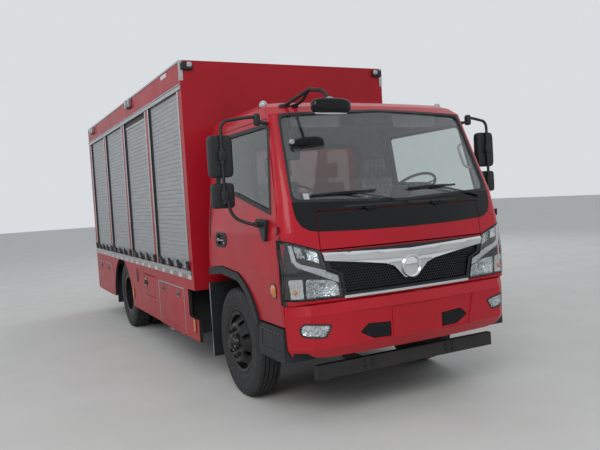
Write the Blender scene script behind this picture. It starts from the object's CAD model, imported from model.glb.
# %% [markdown]
# A fire equipment truck, dressed around its fixed CAD frame. The frame gives every solid its place; this
# file gives the paint, glass, rubber and trim that the eye reads first, and the small parts that a CAD
# source has no use for. Units are metres, Z is up, and the truck's front faces -Y.

# %% Load the frame
from functools import cache
from math import atan2, ceil, copysign, cos, hypot, pi, radians, sin

import bmesh
import bpy
from mathutils import Matrix, Vector
from mathutils.geometry import delaunay_2d_cdt


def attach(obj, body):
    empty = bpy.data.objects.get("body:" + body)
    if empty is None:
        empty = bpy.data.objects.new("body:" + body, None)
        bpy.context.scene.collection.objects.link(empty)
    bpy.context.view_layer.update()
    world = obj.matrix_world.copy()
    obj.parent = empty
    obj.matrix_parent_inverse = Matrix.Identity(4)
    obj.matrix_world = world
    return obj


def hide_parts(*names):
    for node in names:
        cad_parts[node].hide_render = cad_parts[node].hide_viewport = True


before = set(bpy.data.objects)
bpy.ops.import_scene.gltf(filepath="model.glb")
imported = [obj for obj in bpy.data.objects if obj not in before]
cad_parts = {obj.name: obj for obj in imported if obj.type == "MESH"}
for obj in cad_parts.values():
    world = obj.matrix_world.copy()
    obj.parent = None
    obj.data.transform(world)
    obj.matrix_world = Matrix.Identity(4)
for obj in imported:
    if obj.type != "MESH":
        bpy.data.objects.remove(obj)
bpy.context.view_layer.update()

# %% [markdown]
# The camera comes first, because it decides what matters. Its place and turn were solved from corners of
# the body, the wheels and the cab in the photograph, so a piece lines up with the picture by itself. It
# stands low, ahead of the truck's right corner, and is held with a slight roll.

# %% Camera
camera_place = Vector((-3.083, -7.920, 1.766))
yaw, pitch, roll = radians(-27.011), radians(-2.497), radians(-3.493)
forward = Vector((-sin(yaw) * cos(pitch), cos(yaw) * cos(pitch), sin(pitch)))
level_right = forward.cross(Vector((0, 0, 1))).normalized()
level_up = level_right.cross(forward)
camera_right = cos(roll) * level_right + sin(roll) * level_up
camera_up = cos(roll) * level_up - sin(roll) * level_right
camera_data = bpy.data.cameras.new("photo_camera")
camera_data.lens = 38.015
camera_data.sensor_width = 36
camera_data.clip_end = 200
camera = bpy.data.objects.new("photo_camera", camera_data)
turn = Matrix((camera_right, camera_up, -forward)).transposed().to_4x4()
camera.matrix_world = Matrix.Translation(camera_place) @ turn
bpy.context.scene.collection.objects.link(camera)
bpy.context.scene.camera = camera
bpy.context.scene.view_settings.view_transform = "Standard"
print("camera looks along", [round(value, 3) for value in forward])

# %% [markdown]
# Materials are built from nodes. Colours are written as the sRGB hex that a painter would pick, and one
# function turns them to the linear values that light adds up in. One more function adds a node, sets its
# options and joins its inputs, so a material reads as a short list of what the surface has.

# %% Colours and nodes


def linear(hex_colour):
    """An sRGB hex colour as linear RGBA."""
    channels = [int(hex_colour[start:start + 2], 16) / 255 for start in (1, 3, 5)]
    return tuple(c / 12.92 if c <= 0.04045 else ((c + 0.055) / 1.055) ** 2.4 for c in channels) + (1.0,)


def add_node(material, kind, inputs=None, **settings):
    """Adds a node, sets its options, and fills its inputs with values or with other nodes' outputs."""
    node = material.node_tree.nodes.new(kind)
    for key, value in settings.items():
        setattr(node, key, value)
    for key, value in (inputs or {}).items():
        if isinstance(value, bpy.types.NodeSocket):
            material.node_tree.links.new(value, node.inputs[key])
        else:
            node.inputs[key].default_value = value
    return node


def per_metre(millimetres):
    """Texture scale that repeats a pattern once in so many millimetres."""
    return 1000 / millimetres


def new_material(name, **shader_inputs):
    """A material with one Principled shader, whose plain inputs are given with underscores for spaces."""
    material = bpy.data.materials.new(name)
    material.use_nodes = True
    shader = material.node_tree.nodes["Principled BSDF"]
    for key, value in shader_inputs.items():
        shader.inputs[key.replace("_", " ")].default_value = value
    return material, shader


def join(material, output, socket):
    material.node_tree.links.new(output, socket)


def dress(material, shader, colour, roughness, normal):
    """Joins a colour, a roughness and a bump to the shader."""
    for name, output in (("Base Color", colour), ("Roughness", roughness), ("Normal", normal)):
        join(material, output, shader.inputs[name])


# %% [markdown]
# No real surface is even. Its colour, its height and its roughness wander over patches, and the size of a
# patch is given in millimetres, so that a pattern can be compared with the real thing.

# %% Patterns with a real size


def object_place(material, stretch=(1, 1, 1)):
    """Places on the object in metres, stretched where a pattern runs one way."""
    place = add_node(material, "ShaderNodeTexCoord")
    mapping = add_node(material, "ShaderNodeMapping", {"Vector": place.outputs["Object"], "Scale": stretch})
    return mapping.outputs["Vector"]


def mottled(material, place, size_mm, light, dark, detail=3.0):
    """A colour that wanders between two hex values over patches of a real size."""
    noise = add_node(material, "ShaderNodeTexNoise", {"Vector": place, "Scale": per_metre(size_mm),
        "Detail": detail, "Roughness": 0.55})
    ramp = add_node(material, "ShaderNodeValToRGB", {"Fac": noise.outputs["Fac"]})
    ramp.color_ramp.elements[0].position = 0.32
    ramp.color_ramp.elements[0].color = linear(dark)
    ramp.color_ramp.elements[1].position = 0.68
    ramp.color_ramp.elements[1].color = linear(light)
    return ramp.outputs["Color"]


def grain(material, place, size_mm, depth_mm):
    """A bump whose grains have a real size and height."""
    noise = add_node(material, "ShaderNodeTexNoise", {"Vector": place, "Scale": per_metre(size_mm),
        "Detail": 2.0, "Roughness": 0.5})
    bump = add_node(material, "ShaderNodeBump", {"Height": noise.outputs["Fac"],
        "Distance": depth_mm / 1000})
    return bump.outputs["Normal"]


def varied(material, place, size_mm, low, high):
    """A roughness that wanders between two values."""
    noise = add_node(material, "ShaderNodeTexNoise", {"Vector": place, "Scale": per_metre(size_mm),
        "Detail": 4.0})
    spread = add_node(material, "ShaderNodeMapRange", {"Value": noise.outputs["Fac"], "From Min": 0.3,
        "From Max": 0.7, "To Min": low, "To Max": high})
    return spread.outputs["Result"]


# %% [markdown]
# Fire red enamel is sprayed over sheet steel and baked. It has a hard clear coat over the colour, a faint
# orange peel a few millimetres across, and a film of road dust that thins out with height. The peel is
# drawn at 6 mm, twice as coarse as on the real panel, so that it still shows at this distance.

# %% Enamels


dust_top, dust_foot = 1.15, 0.25


def enamel(name, hex_colour, shade_hex, dust_share=0.04, coat=0.28, roughness=0.36, shine=0.22):
    material, shader = new_material(name, Coat_Weight=coat, Coat_Roughness=0.06, Specular_IOR_Level=shine)
    place = object_place(material)
    colour = mottled(material, place, 900, hex_colour, shade_hex)
    height = add_node(material, "ShaderNodeSeparateXYZ", {"Vector": place})
    dusty = add_node(material, "ShaderNodeMapRange", {"Value": height.outputs["Z"], "From Min": dust_top,
        "From Max": dust_foot, "To Min": 0.0, "To Max": dust_share})
    blotch = add_node(material, "ShaderNodeTexNoise", {"Vector": place, "Scale": per_metre(160),
        "Detail": 6.0})
    share = add_node(material, "ShaderNodeMath", {0: dusty.outputs["Result"], 1: blotch.outputs["Fac"]},
        operation="MULTIPLY")
    mixed = add_node(material, "ShaderNodeMix", {"Factor": share.outputs["Value"], "A": colour,
        "B": linear("#A08F80")}, data_type="RGBA")
    dress(material, shader, mixed.outputs["Result"],
        varied(material, place, 240, roughness - 0.06, roughness + 0.06), grain(material, place, 6, 0.06))
    return material


cab_red = enamel("fire_red_enamel", "#BE1226", "#B00F22")
body_red = enamel("fire_red_enamel_on_sheet", "#B21425", "#A31121", coat=0.2, roughness=0.45)
chassis_black = enamel("chassis_black_enamel", "#222426", "#191B1D", dust_share=0.12, coat=0.1,
    roughness=0.55)
rim_black = enamel("wheel_black_enamel", "#15181A", "#101214", dust_share=0.05, coat=0.25, roughness=0.42)
piano_black = enamel("piano_black_lacquer", "#0D1013", "#090B0E", dust_share=0.0, coat=0.35, roughness=0.25,
    shine=0.1)
locker_grey = enamel("light_grey_enamel", "#A9ADAF", "#9EA2A5", dust_share=0.2, coat=0.2, roughness=0.5)
print("materials so far", len(bpy.data.materials))

# %% [markdown]
# Moulded plastics. The flares, mirror shells and steps are ABS or polypropylene out of an etched mould,
# whose leather grain scatters light and makes the black look grey. The cab's linings and dashboard are
# the same kind of moulding in grey. Grain of 1.5 mm is drawn at 4 mm so that it shows.

# %% Plastics and rubbers


def grained_plastic(name, light, dark, grain_mm=4.0, depth_mm=0.25, low=0.48, high=0.62):
    material, shader = new_material(name, IOR=1.49)
    place = object_place(material)
    dress(material, shader, mottled(material, place, 60, light, dark), varied(material, place, 90, low, high),
        grain(material, place, grain_mm, depth_mm))
    return material


trim_plastic = grained_plastic("grained_abs_black", "#1B1E22", "#15181B")
grille_plastic = grained_plastic("moulded_abs_grille", "#1B1E22", "#131518", 5, 0.1, 0.35, 0.45)
lining_grey = grained_plastic("grained_polypropylene_grey", "#85898C", "#787C7F", 4, 0.3, 0.6, 0.75)
dash_grey = grained_plastic("grained_polypropylene_dark", "#4A4D50", "#404346", 4, 0.3, 0.55, 0.7)
seal_rubber = grained_plastic("epdm_rubber", "#22252A", "#1B1E22", 3, 0.08, 0.5, 0.6)
flap_rubber = grained_plastic("moulded_rubber", "#1F2124", "#17181B", 8, 0.4, 0.6, 0.75)


def tyre_rubber():
    """Vulcanised rubber: nearly black, browned by dust, with fine mould marks that run round the wheel."""
    material, shader = new_material("vulcanised_tyre_rubber", IOR=1.52)
    place = object_place(material)
    dress(material, shader, mottled(material, place, 70, "#2B2B2D", "#1E1E20", 6.0),
        varied(material, place, 50, 0.62, 0.85), grain(material, place, 7, 0.5))
    return material


tyre_black = tyre_rubber()
print("materials so far", len(bpy.data.materials))

# %% [markdown]
# Metals. Anodised aluminium slats are extruded, so fine die lines run along them and catch light in
# streaks. Plated trim is almost a mirror. Zinc on bolts is bright but soft. All metals keep the default
# IOR, because a metal's colour is what sets its reflection.

# %% Metals


def drawn_metal(name, light, dark, low, high, along=(1, 0.04, 1), line_mm=3.0, metallic=1.0, depth_mm=0.04):
    """A metal with die or brush lines, which are long where along is small."""
    material, shader = new_material(name, Metallic=metallic)
    place = object_place(material, along)
    dress(material, shader, mottled(material, place, line_mm * 6, light, dark, 2.0),
        varied(material, place, line_mm * 2, low, high), grain(material, place, line_mm, depth_mm))
    return material


shutter_metal = drawn_metal("anodised_aluminium_slats", "#B2B4B6", "#A3A5A8", 0.42, 0.55, metallic=0.55)
shutter_metal_across = drawn_metal("anodised_aluminium_slats_across", "#B2B4B6", "#A3A5A8", 0.42, 0.55,
    along=(0.04, 1, 1), metallic=0.55)
mill_aluminium = drawn_metal("mill_finish_aluminium", "#BFC2C4", "#A9ADB0", 0.3, 0.45)
plated_chrome = drawn_metal("bright_chrome_plate", "#E2E4E6", "#D6D8DA", 0.05, 0.09, along=(1, 1, 1),
    line_mm=40, depth_mm=0.01)
zinc_plate = drawn_metal("bright_zinc_plate", "#AEB1B5", "#8E9297", 0.28, 0.42, along=(1, 1, 1), line_mm=12)
mirror_silver = drawn_metal("silvered_mirror_glass", "#E8ECEE", "#E4E8EA", 0.015, 0.02, along=(1, 1, 1),
    line_mm=400, depth_mm=0.0)
cast_iron = grained_plastic("cast_iron", "#4B4A48", "#3A3937", 5, 0.5, 0.6, 0.75)
spring_steel = drawn_metal("painted_spring_steel", "#303234", "#26282A", 0.5, 0.6, metallic=0.3)
print("materials so far", len(bpy.data.materials))

# %% [markdown]
# Glass and lenses. Toughened glass is clear with a faint green cast, and Cycles would let it throw a black
# shadow, so shadow and diffuse rays pass through a Transparent shader instead and light the cab's inside.
# Lamp covers are clear polycarbonate, and some are moulded with shallow flutes.

# %% Glass and lenses


def clear_sheet(name, tint, roughness=0.0, flute_mm=0.0, shadow="#FAFBFB", coat=0.0):
    """Clear or tinted sheet. Shadow rays and diffuse rays pass through it as plain transparency."""
    material, shader = new_material(name, Base_Color=linear(tint), Transmission_Weight=1.0,
        Roughness=roughness, IOR=1.5, Coat_Weight=coat, Coat_Roughness=0.0, Coat_IOR=1.5)
    if flute_mm:
        place = object_place(material)
        waves = add_node(material, "ShaderNodeTexWave", {"Vector": place,
            "Scale": per_metre(flute_mm) / 20}, bands_direction="X")
        bump = add_node(material, "ShaderNodeBump", {"Height": waves.outputs["Fac"], "Distance": 0.001})
        join(material, bump.outputs["Normal"], shader.inputs["Normal"])
    passing = add_node(material, "ShaderNodeBsdfTransparent", {"Color": linear(shadow)})
    ray = add_node(material, "ShaderNodeLightPath")
    unseen = add_node(material, "ShaderNodeMath", {0: ray.outputs["Is Shadow Ray"],
        1: ray.outputs["Is Diffuse Ray"]}, operation="MAXIMUM")
    mixed = add_node(material, "ShaderNodeMixShader", {0: unseen.outputs["Value"],
        1: shader.outputs["BSDF"], 2: passing.outputs["BSDF"]})
    join(material, mixed.outputs["Shader"], material.node_tree.nodes["Material Output"].inputs["Surface"])
    return material


toughened_glass = clear_sheet("toughened_glass", "#F9FCFC", coat=0.6)
door_tinted_glass = clear_sheet("tinted_toughened_glass", "#C3CCCA", shadow="#C8D0CE")
lamp_cover = clear_sheet("clear_polycarbonate", "#F4F7F8")
fluted_cover = clear_sheet("fluted_polycarbonate", "#F4F7F8", 0.04, flute_mm=9.0)
print("materials so far", len(bpy.data.materials))


# %% [markdown]
# A coloured lens has a reflector behind it, so some of its colour always comes back to the eye. Reflecting
# sheet and light guides do the same, and the reflector itself is plastic with a film of aluminium.

# %% Dyed lenses and reflectors


def dyed_lens(name, hex_colour, glow=0.15):
    """Dyed polycarbonate with a reflector behind it: some colour always comes back, so it glows a little."""
    material, shader = new_material(name, IOR=1.58, Emission_Strength=glow,
        Emission_Color=linear(hex_colour), Coat_Weight=1.0, Coat_Roughness=0.03)
    place = object_place(material)
    cells = add_node(material, "ShaderNodeTexVoronoi", {"Vector": place, "Scale": per_metre(6)},
        feature="F1")
    shade = add_node(material, "ShaderNodeMix", {"Factor": cells.outputs["Distance"],
        "A": linear(hex_colour), "B": (0.02, 0.01, 0.01, 1)}, data_type="RGBA")
    bump = add_node(material, "ShaderNodeBump", {"Height": cells.outputs["Distance"], "Distance": 0.0008})
    dress(material, shader, shade.outputs["Result"], varied(material, place, 30, 0.1, 0.2),
        bump.outputs["Normal"])
    return material


amber_lens = dyed_lens("amber_polycarbonate", "#E8851F")
red_lens = dyed_lens("red_polycarbonate", "#C4161C")
white_lens = dyed_lens("frosted_white_polycarbonate", "#E3E6E8", 0.05)
white_tape = dyed_lens("white_reflective_sheet", "#EFEDE6", 0.12)
red_tape = dyed_lens("red_reflective_sheet", "#8A0F1A", 0.0)


def faceted_reflector():
    """Aluminised plastic, moulded in facets 14 mm across that each throw the light another way."""
    material, shader = new_material("aluminised_reflector", Metallic=1.0, Roughness=0.12)
    place = object_place(material)
    join(material, mottled(material, place, 30, "#F4F6F7", "#A8AEB3", 2.0), shader.inputs["Base Color"])
    cells = add_node(material, "ShaderNodeTexVoronoi", {"Vector": place, "Scale": per_metre(14)},
        feature="F1")
    bump = add_node(material, "ShaderNodeBump", {"Height": cells.outputs["Distance"], "Distance": 0.006})
    join(material, bump.outputs["Normal"], shader.inputs["Normal"])
    return material


reflector = faceted_reflector()
light_guide = dyed_lens("clear_light_guide", "#D5D9DC", 0.12)
white_reflector = dyed_lens("pearl_reflector", "#E9EAE8", 0.10)
print("materials so far", len(bpy.data.materials))

# %% [markdown]
# Seat cloth is a plain weave of thick yarn, and a thin clear coat gives it a soft shine. Two wave textures
# at right angles make the over and under of the threads, whose 3 mm spacing is drawn at 8 mm so that it
# survives at this distance.

# %% Seat cloth


def woven_cloth(name, light, dark, thread_mm):
    material, shader = new_material(name, Sheen_Weight=0.35, Sheen_Roughness=0.5, Coat_Weight=0.5,
        Coat_Roughness=0.2)
    place = object_place(material)
    across, upward = (add_node(material, "ShaderNodeTexWave", {"Vector": place,
        "Scale": per_metre(thread_mm) / 20}, bands_direction=axis) for axis in "XZ")
    weave = add_node(material, "ShaderNodeMath", {0: across.outputs["Fac"], 1: upward.outputs["Fac"]},
        operation="MULTIPLY")
    shade = add_node(material, "ShaderNodeMix", {"Factor": weave.outputs["Value"], "A": linear(dark),
        "B": linear(light)}, data_type="RGBA")
    bump = add_node(material, "ShaderNodeBump", {"Height": weave.outputs["Value"], "Distance": 0.0012})
    dress(material, shader, shade.outputs["Result"], varied(material, place, 40, 0.78, 0.92),
        bump.outputs["Normal"])
    return material


seat_cloth = woven_cloth("woven_polyester_grey", "#6E7276", "#4C5054", 8.0)
print("materials", len(bpy.data.materials))

# %% [markdown]
# The CAD solids already have the right shapes, so most keep them and only change finish. Some need two:
# a cab panel is red outside and lined in grey inside. The faces that look away from the middle of the cab
# are the outside, and each face gets a slot by that test, without a vertex being touched. The seams of the
# front, the lid and the hinges lie in shadow on the real cab, so their faces are painted black.

# %% Finishes of the CAD solids


def finish_node(node, material, inner=None, middle=None):
    """Gives a node a finish, and a second one to the faces that look towards the middle point."""
    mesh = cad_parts[node].data
    mesh.materials.clear()
    mesh.materials.append(material)
    if inner is None:
        return
    mesh.materials.append(inner)
    for face in mesh.polygons:
        towards = Vector(middle) - face.center
        flat = Vector((towards.x, towards.y, towards.z * 0.7)).normalized()
        face.material_index = 1 if face.normal.dot(flat) > 0.12 else 0


def paint_faces(node, material, chosen):
    """Gives one more finish to those faces of a node that chosen(middle, normal) picks."""
    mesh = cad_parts[node].data
    mesh.materials.append(material)
    for face in mesh.polygons:
        if chosen(face.center, face.normal):
            face.material_index = len(mesh.materials) - 1


front_axle = -2.555
cab_middle = (0, front_axle - 0.3, 1.6)
node_finishes = (
    (chassis_black, ("frame_rails", "front_axle", "rear_axle", "propshaft", "underrun_bar")),
    (cast_iron, ("engine", "knuckle_left", "knuckle_right")),
    (spring_steel, ("leaf_springs", "silencer")),
    (mill_aluminium, ("fuel_tank", "lashing_rails")),
    (shutter_metal, ("shutters_left", "shutters_right")),
    (shutter_metal_across, ("shutter_rear",)),
    (trim_plastic, ("wheel_arches", "wipers", "nearside_mirror", "mirrors_left", "mirrors_right")),
    (grille_plastic, ("grille",)),
    (dash_grey, ("dashboard", "steering_wheel")),
    (flap_rubber, ("mud_flaps",)),
    (cab_red, ("bumper", "front_lid")),
    (plated_chrome, ("grille_trim",)),
    (white_lens, ("cab_lamps",)),
    (amber_lens, ("body_lamps",)),
    (toughened_glass, ("cab_glass",)),
    (door_tinted_glass, ("door_glass_left", "door_glass_right")),
    (seat_cloth, ("seats",)),
    (tyre_black, ("tyre_front_left", "tyre_front_right", "tyres_rear_left", "tyres_rear_right")),
    (rim_black, ("rim_front_left", "rim_front_right", "rims_rear_left", "rims_rear_right")))
for material, nodes in node_finishes:
    for node in nodes:
        finish_node(node, material)
for node in ("cab_shell", "door_left", "door_right"):
    finish_node(node, cab_red, lining_grey, cab_middle)
finish_node("body_shell", body_red, locker_grey, (0, 1.0, 2.0))
for side in ("left", "right"):
    finish_node(f"skirt_{side}", body_red)
    for row in ("front", "rear"):
        finish_node(f"locker_flap_{row}_{side}", body_red)


def in_lid_seam(middle, normal):
    on_lid_front = abs(middle.x) < 0.81 and 1.345 < middle.z < 1.66 and middle.y < front_axle - 1.09
    return on_lid_front and abs(normal.y) < 0.6


def on_lid_hinge(middle, normal):
    away = hypot(middle.y - (front_axle - 1.200), middle.z - 1.652)
    return away < 0.03 and 0.27 < abs(middle.x) < 0.40


def in_front_seam(middle, normal):
    return 0.97 < middle.z < 1.47 and middle.y < front_axle - 1.07 and abs(normal.y) < 0.6


paint_faces("cab_shell", seal_rubber, in_front_seam)
for node in ("cab_shell", "front_lid"):
    paint_faces(node, seal_rubber, in_lid_seam)
    paint_faces(node, piano_black, on_lid_hinge)
print("faces of the cab shell", len(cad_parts["cab_shell"].data.polygons))

# %% [markdown]
# New pieces are shapes made in code: a list of corners and a list of faces. A few makers cover almost all
# of a truck: blocks, tubes bent along a path, turned parts, hexagon heads, and plates that lie on a
# curved panel. A truck's two sides mirror each other, so a shape can be flipped for the other side.

# %% Shape makers


def blocks(rows):
    """Boxes from (low corner, high corner) pairs, as one shape."""
    vertices, faces = [], []
    for low, high in rows:
        start = len(vertices)
        vertices += [(x, y, z) for z in (low[2], high[2]) for y in (low[1], high[1])
            for x in (low[0], high[0])]
        faces += [tuple(start + corner for corner in face) for face in
                  ((0, 2, 3, 1), (4, 5, 7, 6), (0, 1, 5, 4), (2, 6, 7, 3), (0, 4, 6, 2), (1, 3, 7, 5))]
    return vertices, faces


def merge(shapes):
    vertices, faces = [], []
    for shape_vertices, shape_faces in shapes:
        start = len(vertices)
        vertices += list(shape_vertices)
        faces += [tuple(start + corner for corner in face) for face in shape_faces]
    return vertices, faces


def flip(shape):
    """The shape's mirror image on the truck's other side."""
    return [(-x, y, z) for x, y, z in shape[0]], [tuple(reversed(face)) for face in shape[1]]


def frame_along(direction):
    """Two directions at right angles to this one."""
    ahead = Vector(direction).normalized()
    helper = Vector((0, 0, 1)) if abs(ahead.z) < 0.9 else Vector((0, 1, 0))
    side = ahead.cross(helper).normalized()
    return ahead, side, side.cross(ahead)


def ring_faces(rings, segments):
    """The faces between rings of points that lie one after another."""
    return [(ring * segments + step, ring * segments + (step + 1) % segments,
             (ring + 1) * segments + (step + 1) % segments, (ring + 1) * segments + step)
            for ring in range(rings) for step in range(segments)]


def turned(profile, origin, axis, segments=32):
    """A turned part: profile points are (along the axis, radius). A radius of 0 closes an end."""
    ahead, side, up = frame_along(axis)
    vertices = []
    for along, radius in profile:
        for step in range(segments):
            angle = 2 * pi * step / segments
            outward = side * cos(angle) + up * sin(angle)
            vertices.append(tuple(Vector(origin) + ahead * along + outward * radius))
    return vertices, ring_faces(len(profile) - 1, segments)


def hexagon_heads(places, facing, across, height):
    """Bolt heads with a flat washer under each, for a row of places on a face."""
    shapes = []
    for place in places:
        shapes.append(turned(((0, 0), (0, across * 0.75), (height * 0.25, across * 0.75),
            (height * 0.25, 0)), place, facing, 12))
        shapes.append(turned(((height * 0.2, 0), (height * 0.2, across * 0.56),
            (height * 0.9, across * 0.56), (height, across * 0.47), (height, 0)), place, facing, 6))
    return merge(shapes)


# %% [markdown]
# Pipes and pressed panels have rounded corners, so each corner of a path or an outline gives way to a short
# curve. A round bar is then a ring of points that is carried along such a path.

# %% Bars and rounded corners


def corner_curve(before, corner, after, radius, share, steps):
    """A curve that cuts off one corner and takes up no more than this share of either side."""
    reach_in = min(radius, (corner - before).length * share)
    reach_out = min(radius, (after - corner).length * share)
    start = corner + (before - corner).normalized() * reach_in
    end = corner + (after - corner).normalized() * reach_out
    return [(1 - t) ** 2 * start + 2 * t * (1 - t) * corner + t ** 2 * end
            for t in (step / steps for step in range(steps + 1))]


def rounded_path(points, radius):
    """A path through the points whose corners are rounded off."""
    corners = [Vector(point) for point in points]
    path = [corners[0]]
    for before, corner, after in zip(corners, corners[1:], corners[2:]):
        path += corner_curve(before, corner, after, radius, 0.48, 6)
    return path + [corners[-1]]


def tube(points, radius, bend=0.0, segments=12, flatten=1.0):
    """A round bar or pipe bent along points, closed at both ends."""
    path = rounded_path(points, bend) if bend else [Vector(point) for point in points]
    vertices = []
    side = frame_along(path[1] - path[0])[1]
    for index, centre in enumerate(path):
        ahead = (path[min(index + 1, len(path) - 1)] - path[max(index - 1, 0)]).normalized()
        side = (side - ahead * side.dot(ahead)).normalized()
        up = ahead.cross(side)
        for step in range(segments):
            angle = 2 * pi * step / segments
            vertices.append(tuple(centre + side * cos(angle) * radius + up * sin(angle) * radius * flatten))
    last = (len(path) - 1) * segments
    ends = [tuple(reversed(range(segments))), tuple(last + step for step in range(segments))]
    return vertices, ring_faces(len(path) - 1, segments) + ends


def neighbours(outline):
    """Each corner of a closed outline, between the one before it and the one after."""
    count = len(outline)
    return [[Vector(outline[(index + shift) % count]) for shift in (-1, 0, 1)] for index in range(count)]


def rounded(outline, radius):
    """A closed flat outline with its corners rounded off."""
    return [tuple(point) for before, corner, after in neighbours(outline)
            for point in corner_curve(before, corner, after, radius, 0.45, 5)]


def inset(outline, amount):
    """The outline moved inward by amount, for the hole of a frame or the edge of a panel."""
    area = sum(a[0] * b[1] - b[0] * a[1] for a, b in zip(outline, outline[1:] + outline[:1]))
    turn_sign = 1 if area > 0 else -1
    points = []
    for before, corner, after in neighbours(outline):
        first, second = (corner - before).normalized(), (after - corner).normalized()
        inward = Vector((-(first.y + second.y), first.x + second.x)) * turn_sign
        if inward.length < 1e-6:
            inward = Vector((-first.y, first.x)) * turn_sign
        inward.normalize()
        lean = max(0.4, inward.dot(Vector((-first.y, first.x)) * turn_sign))
        points.append(tuple(corner + inward * amount / lean))
    return points


# %% [markdown]
# Seals, lenses and covers are cut like sheet, with an outline and holes, and they follow the panel under
# them. A curved panel needs points inside the plate too, so the outline is filled with small triangles.

# %% Plates


def inside(point, outline):
    x, y = point
    within = False
    for a, b in zip(outline, outline[1:] + outline[:1]):
        if (a[1] > y) != (b[1] > y) and x < (b[0] - a[0]) * (y - a[1]) / (b[1] - a[1]) + a[0]:
            within = not within
    return within


def dense(loop, step):
    """The closed outline with points added, so that no edge is longer than step."""
    points = []
    for a, b in zip(loop, loop[1:] + loop[:1]):
        parts = max(1, ceil((Vector(b) - Vector(a)).length / step))
        points += [tuple(Vector(a).lerp(Vector(b), i / parts)) for i in range(parts)]
    return points


def plate(outline, onto, proud=0.002, depth=0.003, holes=(), step=0.04):
    """A plate cut to an outline and laid on a panel, with real thickness. onto gives a point and its normal.
    proud is its height over the panel, or a function that gives it for a place."""
    loops = [dense(list(loop), step) for loop in (outline, *holes)]
    points, edges = [], []
    for loop in loops:
        start = len(points)
        points += [Vector(point) for point in loop]
        edges += [(start + i, start + (i + 1) % len(loop)) for i in range(len(loop))]
    xs, ys = [p[0] for p in outline], [p[1] for p in outline]
    for column in range(1, ceil((max(xs) - min(xs)) / step)):
        for row in range(1, ceil((max(ys) - min(ys)) / step)):
            spot = (min(xs) + column * step, min(ys) + row * step)
            if inside(spot, loops[0]) and not any(inside(spot, hole) for hole in loops[1:]):
                points.append(Vector(spot))
    flat, _, triangles, *_ = delaunay_2d_cdt(points, edges, [], 1, 1e-6)
    middles = [tuple(sum((flat[i] for i in tri), Vector((0, 0))) / 3) for tri in triangles]
    kept = [tri for tri, middle in zip(triangles, middles)
        if not any(inside(middle, hole) for hole in loops[1:])]
    placed = [onto(point[0], point[1]) for point in flat]
    heights = [proud(*point) if callable(proud) else proud for point in flat]
    top = [tuple(place + normal * height) for (place, normal), height in zip(placed, heights)]
    under = [tuple(place + normal * (height - depth)) for (place, normal), height in zip(placed, heights)]
    count = len(flat)
    faces = [tuple(tri) for tri in kept] + [tuple(count + i for i in reversed(tri)) for tri in kept]
    sides = {}
    for tri in kept:
        for a, b in zip(tri, tri[1:] + tri[:1]):
            if (b, a) in sides:
                del sides[(b, a)]
            else:
                sides[(a, b)] = True
    faces += [(b, a, count + a, count + b) for a, b in sides]
    return top + under, faces


# %% [markdown]
# A shape becomes a piece when it gets its finish, a small bevel where a real edge would catch light, and
# the body that it rides on. Almost every finish belongs to one slot of the record, so a table holds them.

# %% Pieces
finishes = {"plastic_black": (trim_plastic, grille_plastic, piano_black, dash_grey, lining_grey),
            "lamp_lens": (reflector, white_reflector, light_guide, white_lens, red_lens, white_tape),
            "glass": (lamp_cover, fluted_cover, mirror_silver), "amber_lens": (amber_lens,),
            "chrome": (plated_chrome, zinc_plate), "aluminium": (mill_aluminium,),
            "body_paint": (body_red,), "red_paint": (red_tape,), "rim_paint": (rim_black,),
            "chassis_black": (chassis_black, spring_steel), "rubber": (seal_rubber,), "tyre": (tyre_black,),
            "seat_fabric": (seat_cloth,)}
usual_slot = {material.name: slot for slot, materials in finishes.items() for material in materials}


def piece(name, shape, material, body, slot=None, bevel=0.0, smooth=35, subdivide=0):
    """Makes a shape into a piece that rides on a body. If no slot is given, its finish says which it is."""
    mesh = bpy.data.meshes.new(name)
    mesh.from_pydata([tuple(v) for v in shape[0]], [], [tuple(f) for f in shape[1]])
    cleaned = bmesh.new()
    cleaned.from_mesh(mesh)
    bmesh.ops.remove_doubles(cleaned, verts=cleaned.verts, dist=1e-5)
    bmesh.ops.dissolve_degenerate(cleaned, edges=cleaned.edges, dist=1e-6)
    bmesh.ops.recalc_face_normals(cleaned, faces=cleaned.faces)
    cleaned.to_mesh(mesh)
    cleaned.free()
    mesh.materials.append(material)
    made = bpy.data.objects.new(name, mesh)
    bpy.context.scene.collection.objects.link(made)
    if bevel:
        rounding = made.modifiers.new("edge", "BEVEL")
        rounding.width = bevel
        rounding.segments = 2
        rounding.limit_method = "ANGLE"
        rounding.angle_limit = radians(40)
    if subdivide:
        softening = made.modifiers.new("soft", "SUBSURF")
        softening.levels = softening.render_levels = subdivide
    mesh.shade_smooth()
    if smooth < 180:
        mesh.set_sharp_from_angle(angle=radians(smooth))
    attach(made, body)
    slot = usual_slot[material.name] if slot is None else slot
    return made


def pair(name, shape, material, body, slot=None, **finish):
    """The right side's piece and its mirror image on the left. A body ending in _right has its twin too."""
    right = piece(f"{name}_right", shape, material, body, slot, **finish)
    other = body.replace("_right", "_left")
    return right, piece(f"{name}_left", flip(shape), material, other, slot, **finish)


print("finishes with a slot", len(usual_slot))

# %% [markdown]
# A seal, a bright strip or a lamp cover has to lie on the cab's curved skin. The skin is a stack of level
# outlines, each with a bowed nose and a rounded corner, joined by straight lines. Here the same table of
# outlines gives the skin's place under any point of the front or the side view.

# %% The cab's skin as a function

cab_bulge, bumper_bulge = 0.014, 0.010
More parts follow.
